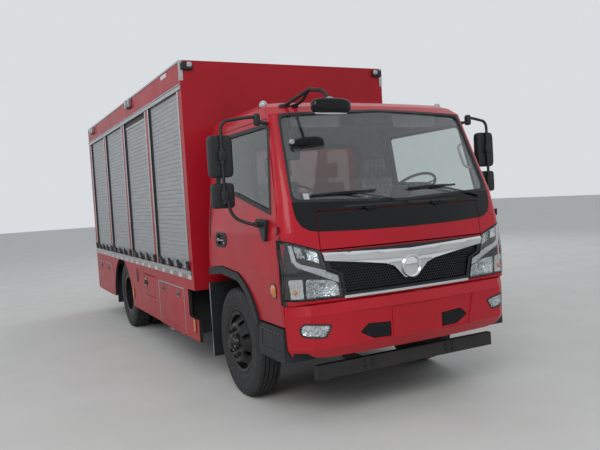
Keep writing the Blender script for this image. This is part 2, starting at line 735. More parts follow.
# height, half width, where the side ends, corner x and y, nose, in metres; y is behind the front axle
cab_rows = (
    (0.795, 1.085, -1.092, 1.015, -1.165, -1.205),
    (1.200, 1.100, -1.088, 1.005, -1.180, -1.238),
    (1.500, 1.088, -1.055, 0.985, -1.152, -1.218),
    (1.735, 1.062, -1.012, 0.972, -1.100, -1.180),
    (2.440, 0.978, -0.745, 0.900, -0.825, -0.905),
    (2.505, 0.958, -0.655, 0.860, -0.735, -0.815),
    (2.550, 0.900, -0.540, 0.790, -0.620, -0.690),
    (2.585, 0.760, -0.370, 0.640, -0.440, -0.500),
)
bumper_rows = (
    (0.545, 1.028, -1.108, 0.890, -1.190, -1.240),
    (0.625, 1.074, -1.102, 0.925, -1.238, -1.290),
    (0.880, 1.084, -1.100, 0.935, -1.238, -1.290),
    (0.955, 1.080, -1.100, 0.925, -1.218, -1.262),
)


def arc_through(a, b, c, count):
    """Points on the circle through three points, from a to c."""
    (ax, ay), (bx, by), (cx, cy) = a, b, c
    d = 2 * (ax * (by - cy) + bx * (cy - ay) + cx * (ay - by))
    ux = ((ax ** 2 + ay ** 2) * (by - cy) + (bx ** 2 + by ** 2) * (cy - ay)
        + (cx ** 2 + cy ** 2) * (ay - by)) / d
    uy = ((ax ** 2 + ay ** 2) * (cx - bx) + (bx ** 2 + by ** 2) * (ax - cx)
        + (cx ** 2 + cy ** 2) * (bx - ax)) / d
    radius = hypot(ax - ux, ay - uy)
    start, end = atan2(ay - uy, ax - ux), atan2(cy - uy, cx - ux)
    sweep = (end - start + pi) % (2 * pi) - pi
    return [(ux + radius * cos(start + sweep * i / (count - 1)),
        uy + radius * sin(start + sweep * i / (count - 1))) for i in range(count)]


@cache
def level_outline(row, bulge):
    """Half of one level outline, from the middle of the nose round the corner to the end of the side."""
    _, half, side_end, corner_x, corner_y, nose = row
    front = arc_through((-corner_x, corner_y), (0, nose), (corner_x, corner_y), 33)[16:]
    middle = ((half + corner_x) / 2 + bulge, (side_end + corner_y) / 2 - bulge)
    corner = arc_through((corner_x, corner_y), middle, (half, side_end), 9)
    return front + corner[1:] + [(half, 0.6)]


def skin_outline(rows, bulge, z):
    z = min(max(z, rows[0][0]), rows[-1][0])
    below = max(i for i in range(len(rows) - 1) if rows[i][0] <= z)
    share = (z - rows[below][0]) / (rows[below + 1][0] - rows[below][0])
    low, high = level_outline(rows[below], bulge), level_outline(rows[below + 1], bulge)
    return [(a[0] + (b[0] - a[0]) * share, a[1] + (b[1] - a[1]) * share) for a, b in zip(low, high)]


def skin_y(rows, bulge, x, z):
    """How far forward the skin is at a place of the front view."""
    outline = skin_outline(rows, bulge, z)
    for a, b in zip(outline, outline[1:-1]):
        if a[0] <= abs(x) <= b[0]:
            return a[1] + (b[1] - a[1]) * (abs(x) - a[0]) / max(b[0] - a[0], 1e-9)
    return outline[-2][1]


def cab_side_x(y, z):
    """How far out the cab's skin is at a place of the side view, y behind the front axle."""
    outline = skin_outline(cab_rows, cab_bulge, z)
    for a, b in zip(outline, outline[1:]):
        if a[1] <= y <= b[1]:
            return a[0] + (b[0] - a[0]) * (y - a[1]) / max(b[1] - a[1], 1e-9)
    return outline[-1][0]


print("half width of the cab at its door handle", round(cab_side_x(0.155, 1.420), 3))

# %% [markdown]
# Trim is drawn flat, in a front view or a side view, as it would be cut from sheet. To lay it on a panel,
# each of its points gets the panel's place and the panel's normal there.

# %% Laying outlines on panels


def on_front(rows=cab_rows, bulge=cab_bulge, lift=0.0):
    """Lays front view points (x, z) on the skin. lift moves the whole surface outward."""
    def place(x, z, h=0.004):
        y = skin_y(rows, bulge, x, z)
        slope_x = (skin_y(rows, bulge, x + h, z) - skin_y(rows, bulge, x - h, z)) / (2 * h)
        slope_z = (skin_y(rows, bulge, x, z + h) - skin_y(rows, bulge, x, z - h)) / (2 * h)
        normal = Vector((slope_x, -1, slope_z)).normalized()
        return Vector((x, front_axle + y, z)) + normal * lift, normal
    return place


def on_side():
    """Lays side view points (y behind the axle, z) on the right side's skin."""
    def place(y, z, h=0.004):
        x = cab_side_x(y, z)
        slope_y = (cab_side_x(y + h, z) - cab_side_x(y - h, z)) / (2 * h)
        slope_z = (cab_side_x(y, z + h) - cab_side_x(y, z - h)) / (2 * h)
        normal = Vector((-1, -slope_y, -slope_z)).normalized()
        return Vector((-x, front_axle + y, z)), normal
    return place


def on_flat_side(x):
    """Lays (y behind the axle, z) on the upright plane at -x, facing outward."""
    def place(y, z):
        return Vector((-x, front_axle + y, z)), Vector((-1, 0, 0))
    return place


def on_flat_end(y, facing):
    """Lays (x, z) on an upright plane across the truck."""
    def place(x, z):
        return Vector((x, front_axle + y, z)), Vector((0, facing, 0))
    return place


on_bumper = on_front(bumper_rows, bumper_bulge)
print("nose of the bumper", [round(value, 3) for value in on_bumper(0, 0.75)[0]])

# %% [markdown]
# A truck tyre is a ring of rubber with a flat crown. The photographed front tyre has ribs that run round it
# with zigzag grooves between them, and notches at the shoulders. One profile is swept round the axle in
# small steps, and the groove points move sideways step by step, which gives the zigzag without booleans.

# %% Tyres
tyre_radius, bead_radius = 0.491, 0.256
groove_middles = (-0.060, -0.021, 0.021, 0.060)
groove_width, groove_depth, groove_swing = 0.010, 0.012, 0.0045
tread_pitches, steps_per_pitch = 60, 4
front_wheel_x, rear_wheel_x, twin_spacing = 0.9365, 1.0335, 0.274
rear_axle_behind = 4.2


def crown(out):
    return tyre_radius - 0.0022 * (out / 0.06) ** 2


def tyre_profile():
    """Points (out, radius, whether it swings, whether a shoulder notch lowers it)."""
    wall = [(0.083, bead_radius + 0.0003), (0.0875, bead_radius + 0.0205), (0.094, 0.284), (0.103, 0.292),
        (0.1065, 0.318), (0.1085, 0.321), (0.111, 0.350), (0.1122, 0.372), (0.1118, 0.398),
        (0.1132, 0.401), (0.1128, 0.412), (0.109, 0.430), (0.1045, 0.452)]
    left = [(-out, radius, False, False) for out, radius in wall]
    left += [(-0.0985, 0.470, False, True), (-0.093, 0.481, False, True),
        (-0.084, crown(0.084), False, True)]
    tread = []
    for middle in groove_middles:
        for shift, drop in ((-0.5, 0), (-0.38, groove_depth), (0.38, groove_depth), (0.5, 0)):
            out = middle + shift * groove_width
            tread.append((out, crown(out) - drop, True, False))
    right = [(-out, radius, swing, notch) for out, radius, swing, notch in reversed(left)]
    return left + tread + right


def tyre_shape(x_middle, y, notch_depth):
    profile = tyre_profile()
    rounds = tread_pitches * steps_per_pitch
    vertices, faces = [], []
    for step in range(rounds):
        angle = 2 * pi * step / rounds
        phase = step % steps_per_pitch
        swing = groove_swing * (1, 0, -1, 0)[phase]
        for out, radius, swings, notched in profile:
            radius -= notch_depth if notched and phase == 1 else 0
            x = x_middle + out + (swing if swings else 0)
            vertices.append((x, front_axle + y + sin(angle) * radius, tyre_radius + cos(angle) * radius))
    width = len(profile)
    for step in range(rounds):
        after = (step + 1) % rounds
        for index in range(width):
            onward = (index + 1) % width
            faces.append((step * width + index, step * width + onward, after * width + onward,
                after * width + index))
    return vertices, faces


for side, sign in (("right", -1), ("left", 1)):
    tyre = piece(f"road_tyre_front_{side}", tyre_shape(sign * front_wheel_x, 0, 0.007), tyre_black,
        f"wheel_front_{side}", smooth=30)
    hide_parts(f"tyre_front_{side}")
    twins = merge([tyre_shape(sign * rear_wheel_x, rear_axle_behind, 0.012),
        tyre_shape(sign * (rear_wheel_x - twin_spacing), rear_axle_behind, 0.012)])
    tyres = piece(f"road_tyres_rear_{side}", twins, tyre_black, f"wheels_rear_{side}", smooth=30)
    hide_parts(f"tyres_rear_{side}")

# %% [markdown]
# The disc wheels are held by nuts with a captive washer, black in front and zinc plated behind. Each is a
# short hexagon on a collar with a rounded stud end. The hub has its own ring of zinc plated bolts round a
# black cap.

# %% Wheel nuts, hub bolts and caps
stud_circle, stud_count = 0.1225, 8
disc_offset = 0.137


def nut_ring(x_face, y, facing, radius, count, across, height, start=0.0):
    places = [(x_face, front_axle + y + cos(start + 2 * pi * i / count) * radius,
               tyre_radius + sin(start + 2 * pi * i / count) * radius) for i in range(count)]
    shapes = []
    for place in places:
        shapes.append(turned(((0, 0), (0, across * 0.72), (0.004, across * 0.72), (0.007, across * 0.6)),
            place, (facing, 0, 0), 16))
        shapes.append(turned(((0.005, 0), (0.005, across * 0.56), (height * 0.8, across * 0.56),
            (height * 0.86, across * 0.45), (height * 0.86, across * 0.3), (height * 1.12, across * 0.3),
            (height * 1.2, across * 0.2), (height * 1.2, 0)), place, (facing, 0, 0), 6))
    return merge(shapes)


front_face = front_wheel_x + disc_offset
pair("wheel_nuts_front", nut_ring(-front_face, 0, -1, stud_circle, stud_count, 0.032, 0.026), rim_black,
     "wheel_front_right", "chrome")
pair("hub_bolts_front", nut_ring(-front_face - 0.0295, 0, -1, 0.063, 6, 0.011, 0.007, 0.3), zinc_plate,
     "wheel_front_right")
pair("hub_cap_front", turned(((0.036, 0.052), (0.046, 0.052), (0.052, 0.048), (0.060, 0.030), (0.062, 0)),
    (-front_face, front_axle, tyre_radius), (-1, 0, 0), 32), rim_black, "wheel_front_right")
rear_face = rear_wheel_x - disc_offset
pair("wheel_nuts_rear", nut_ring(-rear_face - 0.011, rear_axle_behind, -1, stud_circle, stud_count, 0.032,
    0.026), zinc_plate, "wheels_rear_right")
pair("hub_bolts_rear", nut_ring(-rear_face - 0.0905, rear_axle_behind, -1, 0.063, 8, 0.012, 0.008, 0.2),
    zinc_plate, "wheels_rear_right")

# %% [markdown]
# The front is read first, so it is dressed first. A rubber seal runs round the windscreen. Under it lies
# a black lacquered panel in two pieces: the middle lifts with the front lid, and a U shaped piece stays
# on the cab round it. The seam between them is the one that the CAD lid leaves.

# %% Windscreen seal and black panel
screen = [(-0.965, 1.738), (0, 1.700), (0.965, 1.738), (0.906, 2.428), (0, 2.462), (-0.906, 2.428)]
piece("windscreen_seal", plate(rounded(inset(screen, -0.007), 0.05), on_front(), 0.003, 0.016,
    [rounded(inset(screen, 0.013), 0.06)]), seal_rubber, "cab", bevel=0.002)
rear_window = rounded([(-0.6, 1.76), (0.6, 1.76), (0.6, 2.27), (-0.6, 2.27)], 0.08)
for label, y, facing in (("outside", 0.4395, 1), ("inside", 0.387, -1)):
    piece(f"rear_window_seal_{label}", plate(inset(rear_window, -0.022), on_flat_end(y, facing), 0.004,
        0.006, [inset(rear_window, 0.016)], 0.2), seal_rubber, "cab")
lid_panel = [(-0.790, 1.499), (-0.45, 1.486), (0, 1.481), (0.45, 1.486), (0.790, 1.499), (0.790, 1.645),
    (-0.790, 1.645)]
piece("black_panel_on_lid", plate(lid_panel, on_front(), 0.003, 0.004), piano_black, "front_lid",
      bevel=0.001)
cowl = [(-0.799, 1.499), (-0.868, 1.512), (-0.925, 1.548), (-0.956, 1.605), (-0.966, 1.670),
    (-0.971, 1.731), (0, 1.712), (0.971, 1.731), (0.966, 1.670), (0.956, 1.605), (0.925, 1.548),
    (0.868, 1.512), (0.799, 1.499), (0.798, 1.653), (-0.798, 1.653)]
piece("black_panel_on_cab", plate(cowl, on_front(), 0.0026, 0.004), piano_black, "cab", bevel=0.001)
piece("cowl_vents", plate([(-0.55, 1.668), (0.55, 1.668), (0.55, 1.684), (-0.55, 1.684)], on_front(), 0.006,
    0.006), grille_plastic, "cab")

# %% [markdown]
# The grille is one black moulding with hexagon holes, each about 24 mm across, in front of a dark cavity.
# Each cell is a flat ring with a wall behind it, set on the skin at its own slope. The same lattice fills the
# intakes of the bumper, with smaller cells.

# %% Grille and intakes


def hexagon_mesh(outline, onto, pitch, rib, depth):
    """Hexagon holes that fill an outline, as rings with walls, laid on a panel."""
    row_share = 0.866
    vertices, faces = [], []
    xs, zs = [p[0] for p in outline], [p[1] for p in outline]
    for row in range(ceil((max(zs) - min(zs)) / (pitch * row_share)) + 1):
        z = min(zs) + row * pitch * row_share
        for column in range(ceil((max(xs) - min(xs)) / pitch) + 1):
            x = min(xs) + (column + row % 2 / 2) * pitch
            if not inside((x, z), outline):
                continue
            place, normal = onto(x, z)
            across = Vector((0, 0, 1)).cross(normal).normalized()
            up = normal.cross(across)
            across = across / max(abs(normal.y), 0.3)
            start = len(vertices)
            for radius, lift in ((pitch, 0), (pitch - rib, 0), (pitch - rib, -depth)):
                for step in range(6):
                    angle = radians(60 * step + 30)
                    offset = (across * cos(angle) + up * sin(angle)) * radius / 3 ** 0.5
                    vertices.append(tuple(place + offset + normal * lift))
            for step in range(6):
                after = (step + 1) % 6
                for ring in (0, 6):
                    faces.append((start + ring + step, start + ring + after, start + ring + 6 + after,
                        start + ring + 6 + step))
    return vertices, faces


grille_edge = [(-0.765, 1.330), (0.765, 1.330), (0.740, 1.205), (0.640, 1.163), (0.628, 1.080),
    (0.610, 1.000), (-0.610, 1.000), (-0.628, 1.080), (-0.640, 1.163), (-0.740, 1.205)]
lattice = piece("grille_lattice", hexagon_mesh(inset(grille_edge, 0.004), on_front(lift=-0.014), 0.0245,
    0.006, 0.012), grille_plastic, "cab")
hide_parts("grille")
piece("grille_backing", plate(inset(grille_edge, -0.004), on_front(), -0.040, 0.004), grille_plastic, "cab")
piece("grille_surround", plate(inset(grille_edge, -0.014), on_front(), 0.0015, 0.004,
    [inset(grille_edge, 0.016)], 0.03), grille_plastic, "cab")
in_recess = on_front(bumper_rows, bumper_bulge, -0.008)
intake = [(-0.252, 0.755), (-0.252, 0.640), (-0.415, 0.645), (-0.522, 0.700), (-0.522, 0.716),
    (-0.455, 0.768)]
pair("intake_lattice", hexagon_mesh(inset(intake, 0.002), in_recess, 0.0185, 0.005, 0.01), grille_plastic,
    "cab")
pair("intake_backing", plate(inset(intake, -0.003), on_bumper, -0.027, 0.003), grille_plastic, "cab")

# %% [markdown]
# The wing over the grille is bright plated plastic. It is crowned: it rises to a ridge near its top edge
# and falls away below, so its upper band mirrors the sky and its lower band the ground. It narrows to a V
# that carries a plain ring round a plain dish.

# %% Wing, ring and strip
wing = [(-0.786, 1.339), (-0.4, 1.323), (0, 1.309), (0.4, 1.323), (0.786, 1.339), (0.771, 1.277),
    (0.45, 1.238), (0.24, 1.208), (0.165, 1.182), (0.112, 1.130), (0.060, 1.078), (-0.060, 1.078),
    (-0.112, 1.130), (-0.165, 1.182), (-0.24, 1.208), (-0.45, 1.238), (-0.771, 1.277)]


def wing_height(x, z):
    top = 1.309 + 0.030 * (abs(x) / 0.786)
    below = min(top - z, 0.2)
    ridge = 0.016 if below < 0.018 else 0.016 - 0.010 * min((below - 0.018) / 0.05, 1)
    return 0.001 + ridge * min(below / 0.016, 1)


bright_wing = piece("bright_wing", plate(wing, on_front(), wing_height, 0.004, step=0.012), plated_chrome,
    "cab", smooth=28)
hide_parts("grille_trim")
ring_base = front_axle - 1.243
piece("plain_ring", turned(((0, 0.094), (0.012, 0.094), (0.020, 0.089), (0.022, 0.083), (0.018, 0.077),
    (0.008, 0.074), (0.006, 0.068)), (0, ring_base, 1.166), (0, -1, 0), 64), plated_chrome, "cab",
    smooth=60)
piece("ring_dish", turned(((0.006, 0.076), (0.008, 0.066), (0.013, 0.04), (0.015, 0.015), (0.015, 0)),
    (0, ring_base, 1.166), (0, -1, 0), 48), plated_chrome, "cab", smooth=60)
piece("bright_strip", plate([(-0.614, 0.995), (0.614, 0.995), (0.617, 0.972), (-0.617, 0.972)], on_front(),
    0.008, 0.008), plated_chrome, "cab", bevel=0.003)

# %% [markdown]
# A headlamp is layers: a black housing, aluminised reflectors at different depths, a light guide, and a
# clear cover. The reflectors are dished plates whose facets come from the material. The indicator at the
# outer end is clear with an amber bulb. The same layers make the fog lamps.

# %% Lamps of the front
lamp_edge = [(-1.096, 1.449), (-1.052, 1.441), (-0.800, 1.357), (-0.770, 1.262), (-0.752, 1.205),
    (-0.653, 1.165), (-0.640, 1.080), (-0.622, 0.985), (-0.909, 0.990), (-1.096, 1.000)]
lamp_edge = inset(lamp_edge, 0.004)


def dished(x_middle, z_middle, deep, shallow, reach):
    """A height that is deepest in the middle of a reflector."""
    def height(x, z):
        away = min(hypot(x - x_middle, z - z_middle) / reach, 1)
        return -deep + (deep - shallow) * away ** 2
    return height


lamp_base, _ = pair("headlamp_housing", plate(lamp_edge, on_front(), -0.040, 0.004), piano_black, "cab")
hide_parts("cab_lamps")
pair("headlamp_rim", plate(inset(lamp_edge, -0.008), on_front(), 0.002, 0.006, [inset(lamp_edge, 0.010)],
    0.03), piano_black, "cab")
upper_lamp = [(-1.004, 1.401), (-0.822, 1.349), (-0.808, 1.262), (-0.925, 1.306), (-0.985, 1.318)]
pair("upper_reflector", plate(upper_lamp, on_front(), dished(-0.9, 1.33, 0.030, 0.012, 0.09), 0.003,
    step=0.015), reflector, "cab")
pair("upper_divider", plate([(-0.935, 1.374), (-0.917, 1.369), (-0.897, 1.303), (-0.912, 1.301)],
    on_front(), -0.008, 0.012), piano_black, "cab", bevel=0.001)
guide = [(-1.042, 1.412), (-1.018, 1.408), (-0.996, 1.292), (-0.962, 1.266), (-0.668, 1.176),
    (-0.658, 1.100), (-0.990, 1.244), (-1.030, 1.290)]
pair("light_guide", plate(guide, on_front(), -0.004, 0.010, step=0.02), light_guide, "cab", bevel=0.002)
main_lamp = rounded([(-0.930, 1.150), (-0.700, 1.118), (-0.662, 1.080), (-0.650, 1.000), (-0.930, 1.004)],
    0.025)
pair("main_reflector", plate(main_lamp, on_front(), dished(-0.80, 1.07, 0.036, 0.008, 0.12), 0.003,
    step=0.015), reflector, "cab")
pair("main_bulb", turned(((0, 0.030), (0.014, 0.030), (0.020, 0.022), (0.023, 0.010), (0.024, 0)),
    (-0.80, front_axle + skin_y(cab_rows, cab_bulge, 0.80, 1.07) + 0.034, 1.07), (0, -1, 0), 24),
    lamp_cover, "cab", "lamp_lens")
indicator = rounded([(-1.064, 1.157), (-0.955, 1.153), (-0.950, 1.000), (-1.050, 1.003)], 0.022)
pair("indicator_reflector", plate(indicator, on_front(), dished(-1.01, 1.07, 0.026, 0.006, 0.07), 0.003,
    step=0.015), white_reflector, "cab")
pair("indicator_bulb", turned(((0, 0.016), (0.010, 0.018), (0.020, 0.014), (0.025, 0.006), (0.026, 0)),
    (-1.012, front_axle + skin_y(cab_rows, cab_bulge, 1.012, 1.055) + 0.022, 1.058), (-0.4, -1, 0), 20),
    amber_lens, "cab")
pair("headlamp_cover", plate(inset(lamp_edge, 0.002), on_front(), 0.006, 0.003), lamp_cover, "cab")
fog = [(-1.004, 0.800), (-0.978, 0.825), (-0.784, 0.800), (-0.769, 0.785), (-0.824, 0.705), (-0.978, 0.725),
       (-1.004, 0.745)]
fog = rounded(fog, 0.015)
pair("fog_reflector", plate(inset(fog, 0.006), on_bumper, dished(-0.89, 0.765, 0.016, 0.003, 0.10), 0.003,
    step=0.015), reflector, "cab")
pair("fog_surround", plate(inset(fog, -0.004), on_bumper, 0.002, 0.018, [inset(fog, 0.008)], 0.02),
    trim_plastic, "cab")
pair("fog_cover", plate(inset(fog, 0.003), on_bumper, 0.004, 0.002), fluted_cover, "cab")

# %% [markdown]
# Each clearance lamp on the roof is a clear dome on a black wedge, because the roof slopes where it stands.

# %% Roof lamps
roof_spot = Vector((-0.905, front_axle - 0.560, 2.530))
dome_profile = ((0, 0.034), (0.016, 0.035), (0.034, 0.029), (0.046, 0.018), (0.051, 0))
wedge = turned(((-0.040, 0.062), (-0.012, 0.058), (0.006, 0.045), (0.008, 0)), (0, 0, 0), (-0.25, -0.2, 1),
    24)
wedge = ([(x * 0.8 + roof_spot.x, y * 1.5 + roof_spot.y, z + roof_spot.z) for x, y, z in wedge[0]],
    wedge[1])
pair("roof_lamp_base", wedge, trim_plastic, "cab", smooth=50)
pair("roof_lamp_dome", turned(dome_profile, tuple(roof_spot), (-0.1, -0.1, 1), 24), white_lens, "cab",
     smooth=60)

# %% [markdown]
# Wipers: a bent steel arm from a cast pivot to a sprung frame that holds the blade. They lie low on the
# glass, just over the cowl. The photographed pair both point to the truck's right.

# %% Wipers


def on_glass(x, z, away):
    place, normal = on_front()(x, z)
    return tuple(place + normal * away)


wiper_rows = (((0.0, 1.681), (-0.505, 1.781), (-0.805, 1.776), (-0.247, 1.786)),
    ((0.822, 1.692), (0.335, 1.792), (0.066, 1.787), (0.584, 1.794)))
wiper_shapes, blade_shapes = [], []
for pivot, hold, tip, root in wiper_rows:
    wiper_shapes.append(turned(((-0.01, 0.020), (0.012, 0.020), (0.024, 0.016), (0.028, 0.009), (0.028, 0)),
        on_glass(*pivot, 0), on_front()(*pivot)[1], 20))
    bend = (pivot[0] + (hold[0] - pivot[0]) * 0.22, pivot[1] + 0.026)
    wiper_shapes.append(tube([on_glass(*pivot, 0.02), on_glass(*bend, 0.026)], 0.011, segments=10,
        flatten=0.7))
    wiper_shapes.append(tube([on_glass(*bend, 0.026), on_glass(*hold, 0.022)], 0.006, segments=8,
        flatten=0.8))
    wiper_shapes.append(tube([on_glass(hold[0] + 0.16, hold[1] + 0.003, 0.010), on_glass(*hold, 0.024),
        on_glass(hold[0] - 0.16, hold[1] - 0.001, 0.010)], 0.006, 0.12, 8))
    row = [on_glass(tip[0] + (root[0] - tip[0]) * step / 10, tip[1] + (root[1] - tip[1]) * step / 10, 0.006)
           for step in range(11)]
    blade_shapes.append(tube(row, 0.0055, segments=8, flatten=1.5))
wiper_arms = piece("wiper_arms", merge(wiper_shapes), trim_plastic, "cab", smooth=50)
piece("wiper_blades", merge(blade_shapes), seal_rubber, "cab", smooth=50)
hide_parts("wipers")

# %% [markdown]
# The mirrors hang on bent steel tube, coated black, and each head is a moulded shell with a pane in its
# back. A shell like that is close to a ball whose directions have been pushed out towards the corners of
# a box, so one formula gives all the heads, and a larger power makes one rounder.

# %% Side mirrors


def pebble(centre, half, squareness=0.28, rings=14, segments=28):
    """A closed rounded box about a centre, from its half sizes."""
    def push(value):
        return copysign(abs(value) ** squareness, value)

    vertices = []
    for ring in range(rings + 1):
        rise = -pi / 2 + pi * ring / rings
        for step in range(segments):
            turn = 2 * pi * (step + 0.5) / segments
            vertices.append((centre[0] + half[0] * push(cos(rise)) * push(cos(turn)),
                centre[1] + half[1] * push(cos(rise)) * push(sin(turn)),
                centre[2] + half[2] * push(sin(rise))))
    return vertices, ring_faces(rings, segments)


def behind_axle(points):
    """Points whose y is measured behind the front axle, in the frame's own place."""
    return [(x, front_axle + y, z) for x, y, z in points]


arm_x, arm_y, arm_radius = -1.358, -0.730, 0.013
arm_path = [(-1.075, -0.790, 2.415), (-1.150, -0.770, 2.412), (arm_x, arm_y, 2.385), (arm_x, arm_y, 1.860),
            (-1.310, -0.745, 1.640), (-1.180, -0.800, 1.575), (-1.082, -0.850, 1.575)]
arm = merge([tube(behind_axle(arm_path), arm_radius, 0.07, 14),
    tube(behind_axle([(-0.990, -0.792, 2.365), (-1.080, -0.790, 2.372)]), 0.014, segments=12),
    pebble((-1.075, front_axle - 0.790, 2.392), (0.024, 0.026, 0.048), 0.5),
    pebble((-1.140, front_axle - 0.822, 1.575), (0.026, 0.024, 0.022), 0.5)])
mirror_arm_right, mirror_arm_left = pair("mirror_arm", arm, trim_plastic, "door_right", smooth=50)
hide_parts("mirrors_right")
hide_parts("mirrors_left")
pair("mirror_pad", plate(rounded([(-0.910, 1.605), (-0.700, 1.615), (-0.715, 1.570), (-0.800, 1.520),
    (-0.850, 1.440), (-0.895, 1.440)], 0.02), on_side(), 0.030, 0.030), trim_plastic, "door_right",
    bevel=0.004)
# low end, high end, width and depth of each head
mirror_heads = ((1.955, 2.285, 0.195, 0.075), (1.715, 1.912, 0.185, 0.070))
pane_rim = 0.012
shells, clamps, panes = [], [], []
for low, high, width, depth in mirror_heads:
    middle = (low + high) / 2
    shells.append(pebble((arm_x, front_axle + arm_y + arm_radius + depth / 2, middle),
        (width / 2, depth / 2, (high - low) / 2)))
    clamps.append(pebble((arm_x, front_axle + arm_y + 0.002, middle), (0.030, 0.026, 0.040), 0.4))
    clamps.append(turned(((-0.062, 0.0), (-0.062, 0.022), (0.062, 0.022), (0.062, 0.0)),
        (arm_x, front_axle + arm_y, middle), (0, 0, 1), 14))
    reach = width / 2 - pane_rim
    pane = [(arm_x - reach, low + pane_rim), (arm_x + reach, low + pane_rim),
        (arm_x + reach, high - pane_rim), (arm_x - reach, high - pane_rim)]
    panes.append(plate(rounded(pane, 0.03), on_flat_end(arm_y + arm_radius + depth, 1), -0.001, 0.012,
        step=0.1))
pair("mirror_shells", merge(shells), trim_plastic, "door_right", smooth=60)
pair("mirror_clamps", merge(clamps), trim_plastic, "door_right", smooth=50)
pair("mirror_panes", merge(panes), mirror_silver, "door_right")

# %% [markdown]
# The close range mirror looks down over the windscreen's near corner. Two struts meet over the roof's edge
# and carry a domed shell, whose glass faces the ground.

# %% Close range mirror
near_base, near_apex = (-0.800, -0.745, 2.512), (-0.700, -0.985, 2.602)
outer_strut = [near_base, near_apex, (-0.655, -1.130, 2.570), (-0.640, -1.180, 2.490)]
inner_strut = [(-0.720, -0.765, 2.512), (-0.700, -0.860, 2.530), near_apex]
near_struts = merge([tube(behind_axle(outer_strut), 0.015, 0.05, 12),
    tube(behind_axle(inner_strut), 0.013, 0.04, 10),
    pebble((-0.800, front_axle - 0.738, 2.506), (0.052, 0.024, 0.018), 0.6),
    pebble((-0.720, front_axle - 0.762, 2.506), (0.030, 0.022, 0.016), 0.6),
    pebble((-0.700, front_axle - 0.985, 2.600), (0.020, 0.022, 0.015), 0.6)])
near_arm = piece("near_mirror_struts", near_struts, trim_plastic, "cab", smooth=50)
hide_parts("nearside_mirror")
piece("near_mirror_shell", pebble((-0.630, front_axle - 1.190, 2.440), (0.170, 0.045, 0.062), 0.62),
    piano_black, "cab", smooth=60)
piece("near_mirror_ball", turned(((0, 0.034), (0.010, 0.034), (0.018, 0.022), (0.020, 0)),
    (-0.640, front_axle - 1.185, 2.490), (0.1, 0.2, 1), 24), zinc_plate, "cab", smooth=60)
piece("near_mirror_caps", merge([turned(((0, 0.012), (0.006, 0.012), (0.008, 0.006), (0.008, 0)), place,
    (0, -0.5, 1), 14) for place in behind_axle([(-0.820, -0.745, 2.522), (-0.720, -0.765, 2.520)])]),
    zinc_plate, "cab", smooth=50)
piece("near_mirror_pane", pebble((-0.630, front_axle - 1.190, 2.390), (0.140, 0.034, 0.020), 0.8),
    mirror_silver, "cab", smooth=80)

# %% [markdown]
# A cab door is pressed steel with rubber round its glass and a moulded card inside. The handle is a plated
# lever over an oval dish, and a small amber lamp on the door's front repeats the indicator.

# %% Door trim
window = [(-0.925, 1.665), (-0.150, 1.835), (0.325, 1.852), (0.338, 2.345), (-0.770, 2.345),
    (-0.805, 2.310)]
pair("door_window_seal", plate(rounded(inset(window, -0.020), 0.035), on_side(), 0.004, 0.020,
    [rounded(inset(window, 0.012), 0.035)], 0.06), seal_rubber, "door_right", bevel=0.002)
pair("door_window_channel", plate(rounded(inset(window, -0.012), 0.035), on_side(), -0.040, 0.010,
    [rounded(inset(window, 0.016), 0.035)], 0.06), seal_rubber, "door_right")
handle_y, handle_z = 0.155, 1.420
handle_skin = cab_side_x(handle_y, handle_z)


def oval(length, width, y=handle_y, z=handle_z, steps=12):
    """A level slot: two half circles joined by straight lines, in side view."""
    radius, reach = width / 2, (length - width) / 2
    ends = [(y + side * (reach + radius * cos(turn)), z + side * radius * sin(turn))
            for side in (1, -1) for turn in [-pi / 2 + pi * i / steps for i in range(steps + 1)]]
    return ends


pair("handle_dish", plate(oval(0.186, 0.092), on_flat_side(1.079), 0.0015, 0.003, step=0.1), trim_plastic,
     "door_right")
pair("handle_collar", plate(oval(0.300, 0.134), on_side(), 0.005, 0.017, [oval(0.184, 0.090)], 0.1),
    trim_plastic, "door_right", bevel=0.002)
lever = [(-handle_skin - 0.008, handle_y - 0.120, handle_z), (-handle_skin - 0.014, handle_y, handle_z),
         (-handle_skin - 0.008, handle_y + 0.120, handle_z)]
pair("handle_lever", merge([tube(behind_axle(lever), 0.020, 0.06, 14, 0.45),
    pebble((-handle_skin + 0.002, front_axle + handle_y + 0.070, handle_z), (0.010, 0.014, 0.016), 0.5)]),
    plated_chrome, "door_right", smooth=50)
pair("handle_lock", turned(((0, 0.014), (0.010, 0.014), (0.012, 0.010), (0.010, 0.008), (0.010, 0)),
    (-1.081, front_axle + handle_y - 0.055, handle_z - 0.030), (-1, 0, 0), 20), zinc_plate, "door_right",
    smooth=40)
marker = [(-1.003, 1.112), (-0.908, 1.112), (-0.908, 1.008), (-1.003, 1.008)]
pair("door_marker_base", plate(rounded(inset(marker, -0.005), 0.04), on_side(), 0.005, 0.005, step=0.02),
     trim_plastic, "door_right")


def marker_height(y, z):
    return 0.022 - 6 * ((y + 0.955) ** 2 + (z - 1.06) ** 2)


pair("door_marker", plate(rounded(marker, 0.038), on_side(), marker_height, 0.012, step=0.012), amber_lens,
    "door_right", smooth=60)
pair("quarter_vent", plate(rounded([(0.442, 1.760), (0.470, 1.760), (0.470, 1.440), (0.442, 1.440)], 0.012),
    on_side(), 0.003, 0.003), grille_plastic, "cab")


def door_side_paint(middle, normal):
    near = abs(middle.y - front_axle - handle_y) < 0.098 and abs(middle.z - handle_z) < 0.05
    return near and 1.055 < abs(middle.x) < 1.10


def door_hinge_paint(middle, normal):
    return hypot(abs(middle.x) - 1.094, middle.y - (front_axle - 1.084)) < 0.02


for side in ("left", "right"):
    paint_faces(f"door_{side}", trim_plastic, door_side_paint)
    paint_faces(f"door_{side}", trim_plastic, door_hinge_paint)

